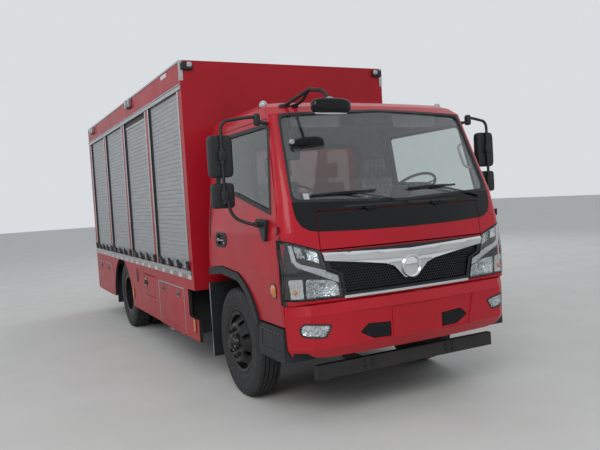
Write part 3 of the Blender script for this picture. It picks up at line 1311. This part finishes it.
# %% [markdown]
# Inside, each door has a moulded card with a pocket, an armrest and a pull handle. They show through the
# windscreen and when the door stands open.

# %% Door cards
card = [(-0.980, 1.260), (-0.900, 1.640), (-0.150, 1.790), (0.370, 1.805), (0.395, 1.200), (0.200, 1.205),
        (-0.300, 1.230), (-0.560, 1.120), (-0.800, 1.130)]
pair("door_card", plate(rounded(inset(card, 0.012), 0.04), on_side(), -0.047, 0.006), lining_grey,
    "door_right", bevel=0.002)
pocket = [(-0.500, 1.330), (0.300, 1.330), (0.320, 1.240), (-0.420, 1.250)]
pair("door_pocket", plate(rounded(pocket, 0.03), on_side(), -0.047, 0.045), dash_grey, "door_right",
    bevel=0.006)
armrest_x = -cab_side_x(0.0, 1.55)
pair("door_armrest", pebble((armrest_x + 0.085, front_axle - 0.050, 1.560), (0.036, 0.230, 0.035), 0.45),
    dash_grey, "door_right", smooth=60)
pull = [(armrest_x + 0.052, -0.420, 1.600), (armrest_x + 0.105, -0.400, 1.600),
    (armrest_x + 0.105, -0.260, 1.620), (armrest_x + 0.052, -0.240, 1.620)]
pair("door_pull", tube(behind_axle(pull), 0.012, 0.03, 10), dash_grey, "door_right", smooth=60)

# %% [markdown]
# The seats are foam in woven covers. A cover pulls the foam round at its edges, and a cloth simulation does
# the same: the shell is blown up from inside, and how far any point may move is capped. One seat's cushion,
# back and head rest are simulated and mirrored to the other seat.

# %% Seats
seat_middle_x = -0.535


def slab(corners, width, slices=4):
    """A block along X about the seat's middle, from the corners of its side view, y behind the axle."""
    vertices = [(seat_middle_x - width / 2 + width * i / slices, front_axle + y, z)
                for i in range(slices + 1) for y, z in corners]
    count = len(corners)
    ends = [tuple(reversed(range(count))), tuple(slices * count + i for i in range(count))]
    return vertices, ring_faces(slices, count) + ends


cloth_frames, cloth_pressure = 20, 4.0
even_mesh, furthest_move = 0.012, 0.022


def inflated(name, shape):
    """Blows a closed shell up as cloth, and gives its mesh as a shape."""
    shell = piece(name, shape, seat_cloth, "cab", slot="", smooth=180)
    remesh = shell.modifiers.new("even", "REMESH")
    remesh.mode = "VOXEL"
    remesh.voxel_size = even_mesh
    even = bpy.data.meshes.new_from_object(shell.evaluated_get(bpy.context.evaluated_depsgraph_get()))
    shell.modifiers.clear()
    shell.data = even
    start = [vertex.co.copy() for vertex in even.vertices]
    cloth = shell.modifiers.new("cloth", "CLOTH")
    cloth.settings.use_pressure = True
    cloth.settings.uniform_pressure_force = cloth_pressure
    cloth.settings.effector_weights.gravity = 0
    for step in range(cloth_frames):
        bpy.context.scene.frame_set(step + 1)
    blown = shell.evaluated_get(bpy.context.evaluated_depsgraph_get()).to_mesh()
    ends = [vertex.co.copy() for vertex in blown.vertices]
    shell.modifiers.clear()
    bpy.context.scene.frame_set(1)
    points = [begin + (end - begin) * min(1, furthest_move / max((end - begin).length, 1e-6))
              for begin, end in zip(start, ends)]
    faces = [tuple(face.vertices) for face in even.polygons]
    bpy.data.objects.remove(shell)
    return [tuple(point) for point in points], faces


channel_depth, channel_reach = 0.007, 0.014


def sewn(shape, channels, along):
    """Presses sewn channels into a padded shape, at offsets across it and along its length."""
    vertices = []
    for x, y, z in shape[0]:
        offset = abs(x - seat_middle_x)
        pull = sum(max(0, 1 - abs(offset - channel) / channel_reach) for channel in channels)
        pull += sum(max(0, 1 - abs((y - front_axle) * ay + z * az - level) / channel_reach)
                    for ay, az, level in along)
        pull = min(pull, 1) ** 2 * channel_depth
        vertices.append((x, y, z, pull))
    middle = sum((Vector(v[:3]) for v in vertices), Vector()) / len(vertices)
    return [tuple(Vector(v[:3]) + (middle - Vector(v[:3])).normalized() * v[3]) for v in vertices], shape[1]


# %% [markdown]
# Three side views give a cushion, a back and a head rest. Channels run across and along the first two, where
# the cover is sewn down to the foam.

# %% Cushions, backs and head rests
cushion_side = [(-0.565, 1.365), (-0.575, 1.430), (-0.540, 1.490), (-0.160, 1.470), (-0.140, 1.370)]
back_side = [(-0.115, 1.490), (-0.045, 1.400), (0.005, 1.420), (0.068, 1.900), (0.045, 1.935),
    (-0.010, 1.930)]
rest_side = [(-0.035, 1.975), (0.035, 1.965), (0.062, 2.110), (0.025, 2.155), (-0.012, 2.120)]
for label, side_view, width, channels, along, fill in (
        ("cushion", cushion_side, 0.420, (0.125,), ((1, 0, -0.42), (1, 0, -0.30)), 0.7),
        ("back", back_side, 0.410, (0.120,), ((0, 1, 1.62), (0, 1, 1.76)), 0.7),
        ("headrest", rest_side, 0.240, (), (), 0.75)):
    padded_shape = sewn(inflated(f"seat_{label}", slab(side_view, width)), channels, along)
    for made in pair(f"seat_{label}", padded_shape, seat_cloth, "cab", smooth=180, subdivide=1):
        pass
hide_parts("seats")
frame_shapes = [pebble((seat_middle_x, front_axle - 0.290, 1.250), (0.145, 0.225, 0.088), 0.2),
    pebble((seat_middle_x, front_axle - 0.330, 1.352), (0.205, 0.215, 0.014), 0.2)]
for side in (-1, 1):
    frame_shapes.append(tube(behind_axle([(seat_middle_x + side * 0.06, 0.030, 1.860),
        (seat_middle_x + side * 0.06, 0.022, 2.020)]), 0.007, segments=10))
    frame_shapes.append(pebble((seat_middle_x + side * 0.222, front_axle - 0.090, 1.400),
        (0.012, 0.075, 0.060), 0.4))
pair("seat_frames", merge(frame_shapes), dash_grey, "cab", smooth=50)

# %% [markdown]
# The steering wheel is a moulded ring on three spokes, and its rim is round to hold, where the CAD rim is
# a flat band. A hood shades the instruments in front of it.

# %% Steering wheel and dashboard
wheel_middle = Vector((0.520, front_axle - 0.640, 1.790))
wheel_tilt = radians(35)
wheel_axis = Vector((0, sin(wheel_tilt), cos(wheel_tilt)))
wheel_across = Vector((1, 0, 0))
wheel_along = wheel_axis.cross(wheel_across)


def on_wheel(turn, radius, rise=0.0):
    return wheel_middle + (wheel_across * cos(turn) + wheel_along * sin(turn)) * radius + wheel_axis * rise


rim_profile = [(0.0125 * sin(2 * pi * i / 12), 0.2125 + 0.0125 * cos(2 * pi * i / 12)) for i in range(13)]
hub_profile = ((-0.030, 0), (-0.030, 0.045), (-0.010, 0.062), (0.004, 0.060), (0.012, 0.045), (0.014, 0))
column_profile = ((-0.200, 0), (-0.200, 0.030), (-0.030, 0.024), (-0.030, 0))
wheel_shapes = [turned(rim_profile, wheel_middle, wheel_axis, 64),
    turned(hub_profile, wheel_middle, wheel_axis, 32), turned(column_profile, wheel_middle, wheel_axis, 20)]
for turn in (radians(90), radians(210), radians(330)):
    wheel_shapes.append(tube([on_wheel(turn, 0.045, -0.004), on_wheel(turn, 0.130, -0.006),
        on_wheel(turn, 0.205)], 0.015, 0.05, 12, 0.5))
steering = piece("steering_wheel_moulding", merge(wheel_shapes), trim_plastic, "cab", smooth=50)
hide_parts("steering_wheel")
piece("instrument_hood", pebble((0.520, front_axle - 0.905, 1.722), (0.205, 0.085, 0.040), 0.45), dash_grey,
    "cab", smooth=60)
vent_places = (-0.62, -0.18, 0.12, 0.78)
vents = [pebble((x, front_axle - 0.776, 1.545), (0.062, 0.012, 0.034), 0.3, 8, 16) for x in vent_places]
slats = [((x - 0.050, front_axle - 0.766, z - 0.002), (x + 0.050, front_axle - 0.762, z + 0.002))
         for x in vent_places for z in (1.525, 1.538, 1.551, 1.564)]
piece("dash_vents", merge(vents), trim_plastic, "cab", smooth=50)
piece("dash_vent_slats", blocks(slats), grille_plastic, "cab")
piece("dash_top_grilles", blocks([((x - 0.14, front_axle - 1.010 + row * 0.016, 1.7045 + row * 0.002),
    (x + 0.14, front_axle - 1.004 + row * 0.016, 1.7085 + row * 0.002))
    for x in (-0.50, 0.0) for row in range(3)]), grille_plastic, "cab")

# %% [markdown]
# Small things that show through the glass: sun visors, a console under the roof, a mirror on a curved
# stalk, a grab handle on the left pillar and a bare white label.

# %% Things behind the windscreen
piece("sun_visors", merge([pebble((x, front_axle - 0.690, 2.400), (0.235, 0.012, 0.060), 0.3)
    for x in (-0.50, 0.52)]), lining_grey, "cab", smooth=60)
piece("roof_console", pebble((0.080, front_axle - 0.560, 2.425), (0.190, 0.080, 0.050), 0.35), dash_grey,
    "cab", smooth=60)
stalk = [(-0.760, -0.700, 2.430), (-0.775, -0.760, 2.330), (-0.780, -0.780, 2.200)]
piece("inner_mirror_stalk", tube(behind_axle(stalk), 0.007, 0.06, 10), trim_plastic, "cab", smooth=60)
piece("inner_mirror_clip", pebble((-0.780, front_axle - 0.790, 2.215), (0.024, 0.010, 0.020), 0.7),
    white_reflector, "cab", smooth=80)
piece("inner_mirror_shell", pebble((-0.775, front_axle - 0.775, 2.125), (0.066, 0.012, 0.058), 0.3),
    trim_plastic, "cab", smooth=60)
pillar_grip = [(0.905, -0.870, 2.160), (0.868, -0.865, 2.140), (0.880, -0.925, 1.960),
    (0.925, -0.945, 1.940)]
piece("pillar_grip", tube(behind_axle(pillar_grip), 0.012, 0.04, 10), lining_grey, "cab", smooth=60)
piece("bare_label", plate([(-0.860, 1.800), (-0.815, 1.800), (-0.815, 1.752), (-0.860, 1.752)], on_front(),
    -0.022, 0.001), white_reflector, "cab")

# %% [markdown]
# The equipment body is welded sheet, so only its outside is red. Its roller shutters run in aluminium
# guides with black brush seals, and the guides are as easy to see as the shutters. What lies under the
# floor is black underseal, and the lockers are light grey inside.

# %% Painted faces of the body
body_half, body_front, body_tail, body_top = 1.195, 0.742, 6.400, 3.187
front_wall, tail_wall = front_axle + body_front, front_axle + body_tail
on_body_side = on_flat_side(body_half)
opening_first, opening_length, post_width, opening_count = 0.900, 1.180, 0.190, 4
opening_bottom, opening_top = 1.100, 2.900
openings = [(opening_first + i * (opening_length + post_width),
    opening_first + i * (opening_length + post_width) + opening_length) for i in range(opening_count)]
# front, back, bottom and top of each locker
lockers = {"front": (1.122, 2.132, 0.394, 0.876), "rear": (5.115, 6.170, 0.394, 0.876)}


def in_jamb(middle, normal):
    return 1.158 < abs(middle.x) < 1.192 and 1.098 < middle.z < 2.902 and abs(normal.x) < 0.3


def under_floor(middle, normal):
    return abs(middle.x) < 1.19 and middle.z < 1.085 and middle.y > front_wall + 0.01 and (
        middle.z < 0.95 or abs(middle.y - front_axle - 4.270) < 0.75) and middle.y < tail_wall - 0.01


def in_locker(middle, normal):
    ahead = middle + normal * 0.06
    return abs(ahead.x) < 1.20 and abs(middle.x) < 1.19 and any(front < ahead.y - front_axle < back
        and low < ahead.z < high for front, back, low, high in lockers.values())


def behind_skirt(middle, normal):
    return abs(middle.x) < 1.19 and not in_locker(middle, normal)


paint_faces("body_shell", seal_rubber, in_jamb)
paint_faces("body_shell", chassis_black, under_floor)
for side in ("left", "right"):
    paint_faces(f"skirt_{side}", chassis_black, behind_skirt)
    paint_faces(f"skirt_{side}", locker_grey, in_locker)
    for row in ("front", "rear"):
        paint_faces(f"locker_flap_{row}_{side}", locker_grey,
            lambda at, normal: abs(at.x) < 1.174 and abs(normal.x) > 0.5)
paint_faces("lashing_rails", trim_plastic, lambda at, normal: at.z > 1.0935)
print("shutter openings", openings)

# %% [markdown]
# Aluminium trim: guides beside the shutters, a gutter over them, a strip at the roof's edge and an angle
# on the front corners. All are extrusions, so boxes with a small bevel are what they are.

# %% Guides, gutter and corner strips


def on_wall(rows):
    """Boxes on the right wall from rows of (inner, outer, front, back, low, high), x measured out from it."""
    return blocks([((-body_half - outer, front_axle + front, low),
        (-body_half - inner, front_axle + back, high)) for inner, outer, front, back, low, high in rows])


shutter_face = -0.0215
guide_rows, brush_rows, foot_rows = [], [], []
for front, back in openings:
    for edge, away in ((front, -1), (back, 1)):
        ends = sorted((edge, edge + away * 0.048))
        guide_rows.append((0, 0.004, *ends, opening_bottom - 0.004, opening_top + 0.01))
        ends = sorted((edge - away * 0.001, edge - away * 0.034))
        brush_rows.append((-0.0225, -0.012, *ends, opening_bottom, opening_top))
    foot_rows.append((shutter_face, -0.008, front + 0.035, back - 0.035, opening_bottom + 0.002,
        opening_bottom + 0.060))
    foot_rows.append((-0.008, -0.001, front + 0.035, back - 0.035, opening_bottom + 0.046,
        opening_bottom + 0.060))
pair("shutter_guides", on_wall(guide_rows), mill_aluminium, "chassis", bevel=0.001)
pair("shutter_brushes", on_wall(brush_rows), seal_rubber, "chassis")
pair("shutter_feet", on_wall(foot_rows), mill_aluminium, "chassis", bevel=0.002)
strip_end = body_tail - 0.03
pair("gutter", on_wall([(0, 0.010, body_front + 0.012, strip_end, 2.903, 2.952),
    (0, 0.018, body_front + 0.012, strip_end, 2.944, 2.954)]), mill_aluminium, "chassis", bevel=0.001)
pair("roof_edge", on_wall([(0, 0.006, body_front, strip_end, 3.168, body_top)]), mill_aluminium, "chassis",
    bevel=0.001)
pair("corner_angle", on_wall([(0, 0.005, body_front, body_front + 0.030, 2.985, 3.168),
    (-0.030, 0.005, body_front - 0.005, body_front, 2.985, body_top)]), mill_aluminium, "chassis",
    bevel=0.001)
front, back = openings[1]
pair("shutter_slot", on_wall([(shutter_face, -0.018, front + 0.034, back - 0.034, 2.842, 2.898)]),
    seal_rubber, "chassis")
pair("shutter_slot_bar", on_wall([(shutter_face, -0.014, front + 0.034, back - 0.034, 2.812, 2.840)]),
    mill_aluminium, "chassis", bevel=0.002)

# %% [markdown]
# Along the sill runs an aluminium rail that carries black lashing eyes, and under it a tape of white and
# red reflecting blocks, one pair to each eye. Both are rows, so a loop places them.

# %% Lashing eyes and reflecting tape
rail_front, rail_back, eye_count = body_front + 0.030, body_tail - 0.060, 17
eye_pitch = (rail_back - rail_front - 0.2) / (eye_count - 1)
white_half, tape_low, tape_high = 0.055, 1.003, 1.053
eyes, white_rows, red_rows = [], [], []
for step in range(eye_count):
    place = rail_front + 0.1 + step * eye_pitch
    at = front_axle + place
    eyes.append(pebble((-1.204, at, 1.118), (0.009, 0.036, 0.026), 0.3, 6, 12))
    eyes.append(tube([(-1.205, at - 0.028, 1.100), (-1.214, at - 0.028, 1.182), (-1.214, at + 0.028, 1.182),
        (-1.205, at + 0.028, 1.100)], 0.0095, 0.022, 8))
    eyes.append(turned(((-0.026, 0.0), (-0.026, 0.011), (0.026, 0.011), (0.026, 0.0)), (-1.209, at, 1.150),
        (0, 1, 0), 10))
    white_rows.append((0, 0.0016, place - white_half, place + white_half, tape_low, tape_high))
    red_rows.append((0, 0.0013, place + white_half, min(place - white_half + eye_pitch, rail_back),
        tape_low, tape_high))
pair("lashing_eyes", merge(eyes), trim_plastic, "chassis", smooth=50)
pair("tape_white", on_wall(white_rows), white_tape, "chassis")
pair("tape_red", on_wall(red_rows), red_tape, "chassis")

# %% [markdown]
# The skirt has two lockers with a bright trim, paddle latches in dished plates, a cover over the filler and
# a round ended vent.

# %% Skirt trim, latches, filler and vent
for row, (front, back, low, high) in lockers.items():
    width = 0.013 if row == "front" else 0.007
    pair(f"locker_trim_{row}", on_wall([(0, 0.003, front - width, back + width, high, high + width),
        (0, 0.003, front - width, front, low + 0.01, high),
        (0, 0.003, back, back + width, low + 0.01, high)]), mill_aluminium, "chassis", bevel=0.001)
    dishes, paddles = [], []
    for share in (0.2, 0.8):
        middle, height = front + share * (back - front), high - 0.070
        outline = rounded([(middle - 0.048, height - 0.034), (middle + 0.048, height - 0.034),
            (middle + 0.048, height + 0.034), (middle - 0.048, height + 0.034)], 0.012)
        dishes.append(plate(outline, on_body_side, 0.009, 0.009, step=0.1))
        paddles.append(on_wall([(0.008, 0.012, middle - 0.030, middle + 0.030, height - 0.020,
            height + 0.014)]))
        paddles.append(turned(((0.008, 0.008), (0.012, 0.008), (0.012, 0)),
            (-body_half, front_axle + middle, height + 0.024), (-1, 0, 0), 14))
    pair(f"latch_plates_{row}", merge(dishes), zinc_plate, f"flap_{row}_right", bevel=0.002)
    pair(f"latch_paddles_{row}", merge(paddles), trim_plastic, f"flap_{row}_right", bevel=0.001)
cover = [(2.324, 0.644), (2.856, 0.644), (2.856, 0.911), (2.324, 0.911)]
pair("filler_cover", plate(cover, on_body_side, 0.0, 0.011, step=0.3), body_red, "chassis",
     bevel=0.002)
pair("filler_lock_plate", plate(rounded([(2.755, 0.750), (2.845, 0.750), (2.845, 0.850), (2.755, 0.850)],
    0.008), on_body_side, 0.003, 0.003, step=0.1), zinc_plate, "chassis", bevel=0.001)
pair("filler_lock", turned(((0, 0.030), (0.012, 0.028), (0.014, 0.022), (0.010, 0.012), (0.010, 0)),
    (-body_half - 0.003, front_axle + 2.792, 0.800), (-1, 0, 0), 24), seal_rubber, "chassis",
    "plastic_black", smooth=50)
vent = [(3.250 + 0.034 * cos(2 * pi * i / 32), 0.850 + 0.088 * sin(2 * pi * i / 32)) for i in range(32)]
pair("skirt_vent", plate(vent, on_body_side, 0.002, 0.003, step=0.1), seal_rubber, "chassis")
pair("skirt_vent_rim", plate(inset(vent, -0.006), on_body_side, 0.004, 0.004, [inset(vent, 0.002)], 0.1),
     seal_rubber, "chassis", bevel=0.001)
pair("sill_step", blocks([((-1.185, front_axle + 1.66, 0.352), (-1.060, front_axle + 1.80, 0.362)),
    ((-1.175, front_axle + 1.67, 0.360), (-1.165, front_axle + 1.79, 0.392)),
    ((-1.085, front_axle + 1.67, 0.360), (-1.075, front_axle + 1.79, 0.384))]), mill_aluminium, "chassis",
    bevel=0.002)

# %% [markdown]
# The body's lamps: amber side markers on a black base, flood lamps with bright ends under the roof's edge,
# a white position lamp on a black bracket at each front corner, and a three part cluster at the rear.

# %% Lamps of the body
markers, marker_bases = [], []
for middle, low, high in ((0.785, 0.478, 0.606), (3.540, 0.508, 0.636)):
    outline = rounded([(middle - 0.022, low), (middle + 0.022, low), (middle + 0.022, high),
        (middle - 0.022, high)], 0.012)
    markers.append(plate(outline, on_body_side, lambda y, z, middle=middle: 0.018 - 14 * (y - middle) ** 2,
        0.012, step=0.014))
    marker_bases.append(plate(inset(outline, -0.005), on_body_side, 0.005, 0.005, step=0.05))
side_markers, _ = pair("side_markers", merge(markers), amber_lens, "chassis", smooth=60)
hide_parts("body_lamps")
pair("side_marker_bases", merge(marker_bases), trim_plastic, "chassis", bevel=0.001)
flood_z = 3.110
flood_bodies, flood_ends, flood_lenses = [], [], []
for middle in (2.990, 5.860):
    at = front_axle + middle
    flood_bodies.append(pebble((-1.215, at, flood_z), (0.020, 0.085, 0.052), 0.25, 10, 20))
    flood_lenses.append(pebble((-1.232, at, flood_z), (0.008, 0.066, 0.040), 0.25, 8, 16))
    for end in (-1, 1):
        flood_ends.append(pebble((-1.220, at + end * 0.092, flood_z), (0.026, 0.012, 0.058), 0.35, 10, 16))
pair("flood_lamp_bodies", merge(flood_bodies), trim_plastic, "chassis", smooth=50)
pair("flood_lamp_ends", merge(flood_ends), zinc_plate, "chassis", smooth=50)
pair("flood_lamp_lenses", merge(flood_lenses), fluted_cover, "chassis", "lamp_lens", smooth=50)
pair("corner_lamp_base", pebble((-1.125, front_wall - 0.013, 3.128), (0.062, 0.015, 0.038), 0.3, 10, 20),
     trim_plastic, "chassis", smooth=50)
pair("corner_lamp", pebble((-1.100, front_wall - 0.026, 3.140), (0.028, 0.018, 0.026), 0.7, 10, 20),
    white_lens, "chassis", smooth=80)
pair("header_reflectors", on_wall([(0, 0.003, 1.22, 1.44, 3.115, 3.155)]), white_tape, "chassis")

# %% [markdown]
# The rear isn't in the photograph. It has what such a body has: a lamp board on each side, a shutter with a
# bar handle, and a bare plate between the boards.

# %% Rear lamps, plate and handle
pair("rear_lamp_board", blocks([((-1.150, tail_wall - 0.038, 0.640), (-0.500, tail_wall - 0.024, 0.897))]),
    trim_plastic, "chassis", bevel=0.004)
board_face = on_flat_end(body_tail - 0.024, 1)
# inner edge, outer edge and finish of each lens
rear_lenses = (("stop", 1.000, 1.120, red_lens), ("turn", 0.888, 0.996, amber_lens),
    ("reverse", 0.780, 0.884, white_lens), ("reflex", 0.560, 0.680, red_lens))
for label, inner, outer, lens in rear_lenses:
    outline = rounded([(-outer, 0.700), (-inner, 0.700), (-inner, 0.820), (-outer, 0.820)], 0.01)
    middle = (inner + outer) / 2
    dome = plate(outline, board_face, lambda x, z, middle=middle: 0.016 - 2.4 * (abs(x) - middle) ** 2,
        0.014, step=0.016)
    pair(f"rear_{label}_lens", dome, lens, "chassis", smooth=60)
piece("bare_plate", plate(rounded([(-0.22, 0.745), (0.22, 0.745), (0.22, 0.885), (-0.22, 0.885)], 0.012),
    on_flat_end(body_tail - 0.03, 1), 0.002, 0.002, step=0.2), mill_aluminium, "chassis")
piece("plate_straps", blocks([((side * 0.15 - 0.02, tail_wall - 0.040, 0.750),
    (side * 0.15 + 0.02, tail_wall - 0.031, 0.900)) for side in (-1, 1)]), chassis_black, "chassis")
piece("rear_shutter_foot", blocks([((-0.86, tail_wall - 0.0225, 1.102), (0.86, tail_wall - 0.006, 1.165))]),
    mill_aluminium, "chassis", bevel=0.003)
handle_bar = [(-0.32, body_tail - 0.020, 1.215), (-0.30, body_tail - 0.009, 1.215),
    (0.30, body_tail - 0.009, 1.215), (0.32, body_tail - 0.020, 1.215)]
piece("rear_shutter_handle", tube(behind_axle(handle_bar), 0.008, 0.01, 12), zinc_plate, "chassis",
      smooth=60)
piece("rear_shutter_brushes", blocks([((side * 0.881 - 0.018, tail_wall - 0.0225, 1.100),
    (side * 0.881 + 0.018, tail_wall - 0.014, 2.900)) for side in (-1, 1)]), seal_rubber, "chassis")

# %% [markdown]
# Under the floor: U bolts that clamp the springs, air reservoirs with domed ends on the rail, and brake
# chambers by the rear axle. They are turned or bent parts in black enamel, held by zinc plated bands. The
# mud flaps have an aluminium edge.

# %% Springs, reservoirs and brakes
clamps = []
spring_x, spring_half = 0.475, 0.035
# middle of the spring behind the axle, its lowest and highest leaf at the middle
for middle, low, high in ((0.0, 0.440, 0.545), (rear_axle_behind, 0.540, 0.690)):
    for along in (-0.055, 0.055):
        for side in (-1, 1):
            at = middle + along
            clamps.append(tube(behind_axle([(side * (spring_x - spring_half - 0.009), at, low),
                (side * (spring_x - spring_half - 0.009), at, high),
                (side * (spring_x + spring_half + 0.009), at, high),
                (side * (spring_x + spring_half + 0.009), at, low)]), 0.008, 0.02, 8))
piece("spring_clamps", merge(clamps), spring_steel, "chassis", smooth=50)
reservoir = ((0, 0), (0.010, 0.055), (0.035, 0.086), (0.060, 0.092), (0.440, 0.092), (0.465, 0.086),
    (0.490, 0.055), (0.500, 0))
reservoir_x, reservoir_z, band_places = 0.305, 0.735, (1.70, 1.95)
reservoirs = [turned(reservoir, (side * reservoir_x, front_axle + 1.600, reservoir_z), (0, 1, 0), 24)
    for side in (-1, 1)]
piece("air_reservoirs", merge(reservoirs), chassis_black, "chassis", smooth=50)
bands = [turned(((0, 0.092), (0, 0.096), (0.03, 0.096), (0.03, 0.092)),
    (side * reservoir_x, front_axle + at, reservoir_z), (0, 1, 0), 24)
    for side in (-1, 1) for at in band_places]
bands += [blocks([((side * 0.4225 - 0.004, front_axle + at, 0.700),
    (side * 0.4225 + 0.0045, front_axle + at + 0.03, 0.770)),
    ((min(side * 0.398, side * 0.425), front_axle + at, 0.725),
    (max(side * 0.398, side * 0.425), front_axle + at + 0.03, 0.745))])
    for side in (-1, 1) for at in band_places]
piece("reservoir_bands", merge(bands), zinc_plate, "chassis")
chamber = ((0, 0), (0, 0.050), (0.020, 0.072), (0.055, 0.080), (0.060, 0.086), (0.070, 0.086),
    (0.075, 0.080), (0.115, 0.070), (0.125, 0.040), (0.125, 0))
chambers = [turned(chamber, (side * 0.300, front_axle + rear_axle_behind - 0.070, tyre_radius + 0.020),
    (0, -1, 0.15), 24) for side in (-1, 1)]
piece("brake_chambers", merge(chambers), chassis_black, "chassis", smooth=50)
flap_edge = [((-1.081, front_axle + 0.604, 0.250), (-1.073, front_axle + 0.620, 0.975))]
pair("mud_flap_edge", blocks(flap_edge), mill_aluminium, "chassis", bevel=0.001)
bar_bolts = [(x, front_axle - 1.172, z) for x in (-0.440, -0.370, 0.370, 0.440) for z in (0.405, 0.450)]
piece("underrun_bar_bolts", hexagon_heads(bar_bolts, (0, -1, 0), 0.022, 0.012), chassis_black, "chassis",
    smooth=40)

# %% [markdown]
# The step under each door is a moulded box with a cover let into its side and bright ribs to tread on.

# %% Step covers and treads
step_cover = [(-1.045, 0.588), (-0.680, 0.588), (-0.680, 0.738), (-1.045, 0.738)]
pair("step_cover", plate(rounded(step_cover, 0.02), on_flat_side(1.094), 0.003, 0.012, step=0.2),
    trim_plastic, "cab", bevel=0.002)
pair("step_tread", blocks([((-1.118, front_axle + y, 0.7425),
    (-0.900, front_axle + y + 0.012, 0.7475)) for y in (-1.03, -0.97, -0.91, -0.85, -0.79, -0.73)]),
    mill_aluminium, "cab")

# %% [markdown]
# The floor is pale and matt, so it keeps a soft shadow under the truck. It belongs to the stage, not to the
# truck.

# %% Floor
floor_material, floor_shader = new_material("pale_floor", Specular_IOR_Level=0.2)
floor_place = object_place(floor_material)
floor_colour = mottled(floor_material, floor_place, 700, "#DCDAD6", "#D6D4D0")
join(floor_material, floor_colour, floor_shader.inputs["Base Color"])
join(floor_material, varied(floor_material, floor_place, 300, 0.75, 0.9), floor_shader.inputs["Roughness"])
floor_mesh = bpy.data.meshes.new("floor")
reach = 60
floor_mesh.from_pydata([(-reach, -reach, 0), (reach, -reach, 0), (reach, reach, 0), (-reach, reach, 0)], [],
    [(0, 1, 2, 3)])
floor_mesh.materials.append(floor_material)
floor = bpy.data.objects.new("floor", floor_mesh)
bpy.context.scene.collection.objects.link(floor)
print("floor reaches", reach, "m each way")

# %% [markdown]
# The light is soft. The world is bright overhead and dim at the horizon, as outdoors, so that upright panels
# keep their own colour. Rays from the camera, reflections and views through glass see one pale backdrop
# instead, which lights nothing else. Three large lamps give the shape.

# %% Sky and lamps
world = bpy.data.worlds.new("studio")
bpy.context.scene.world = world
world.use_nodes = True
sky = world.node_tree.nodes["Background"]
direction = add_node(world, "ShaderNodeTexCoord")
upward = add_node(world, "ShaderNodeSeparateXYZ", {"Vector": direction.outputs["Generated"]})
sky_ramp = add_node(world, "ShaderNodeValToRGB", {"Fac": upward.outputs["Z"]})
sky_ramp.color_ramp.elements[0].position = 0.0
sky_ramp.color_ramp.elements[0].color = linear("#646B70")
sky_ramp.color_ramp.elements[1].position = 0.55
sky_ramp.color_ramp.elements[1].color = linear("#C3C9CE")
light_path = add_node(world, "ShaderNodeLightPath")
through = add_node(world, "ShaderNodeMath", {0: light_path.outputs["Is Glossy Ray"],
    1: light_path.outputs["Is Transmission Ray"]}, operation="MAXIMUM")
direct = add_node(world, "ShaderNodeMath", {0: light_path.outputs["Is Camera Ray"],
    1: through.outputs["Value"]}, operation="MAXIMUM")
seen = add_node(world, "ShaderNodeMix", {"Factor": direct.outputs["Value"], "A": sky_ramp.outputs["Color"],
    "B": linear("#DADDE0")}, data_type="RGBA")
world.node_tree.links.new(seen.outputs["Result"], sky.inputs["Color"])
sky.inputs["Strength"].default_value = 1.0


def softbox(name, place, aim, size, watts):
    """A rectangular area lamp, turned towards a point."""
    data = bpy.data.lights.new(name, "AREA")
    data.shape = "RECTANGLE"
    data.size, data.size_y = size
    data.energy = watts
    lamp = bpy.data.objects.new(name, data)
    lamp.location = place
    lamp.rotation_mode = "QUATERNION"
    lamp.rotation_quaternion = (Vector(aim) - Vector(place)).to_track_quat("-Z", "Y")
    bpy.context.scene.collection.objects.link(lamp)
    return lamp


softbox("softbox_front", (-7, -11, 8), (0, -2, 1.3), (7, 5), 520)
softbox("softbox_side", (-12, 3, 7), (0, 0.5, 1.5), (9, 4), 130)
back_lamp = softbox("softbox_back", (9, 9, 9), (0, 0, 1.5), (7, 7), 260)
back_lamp.visible_glossy = False
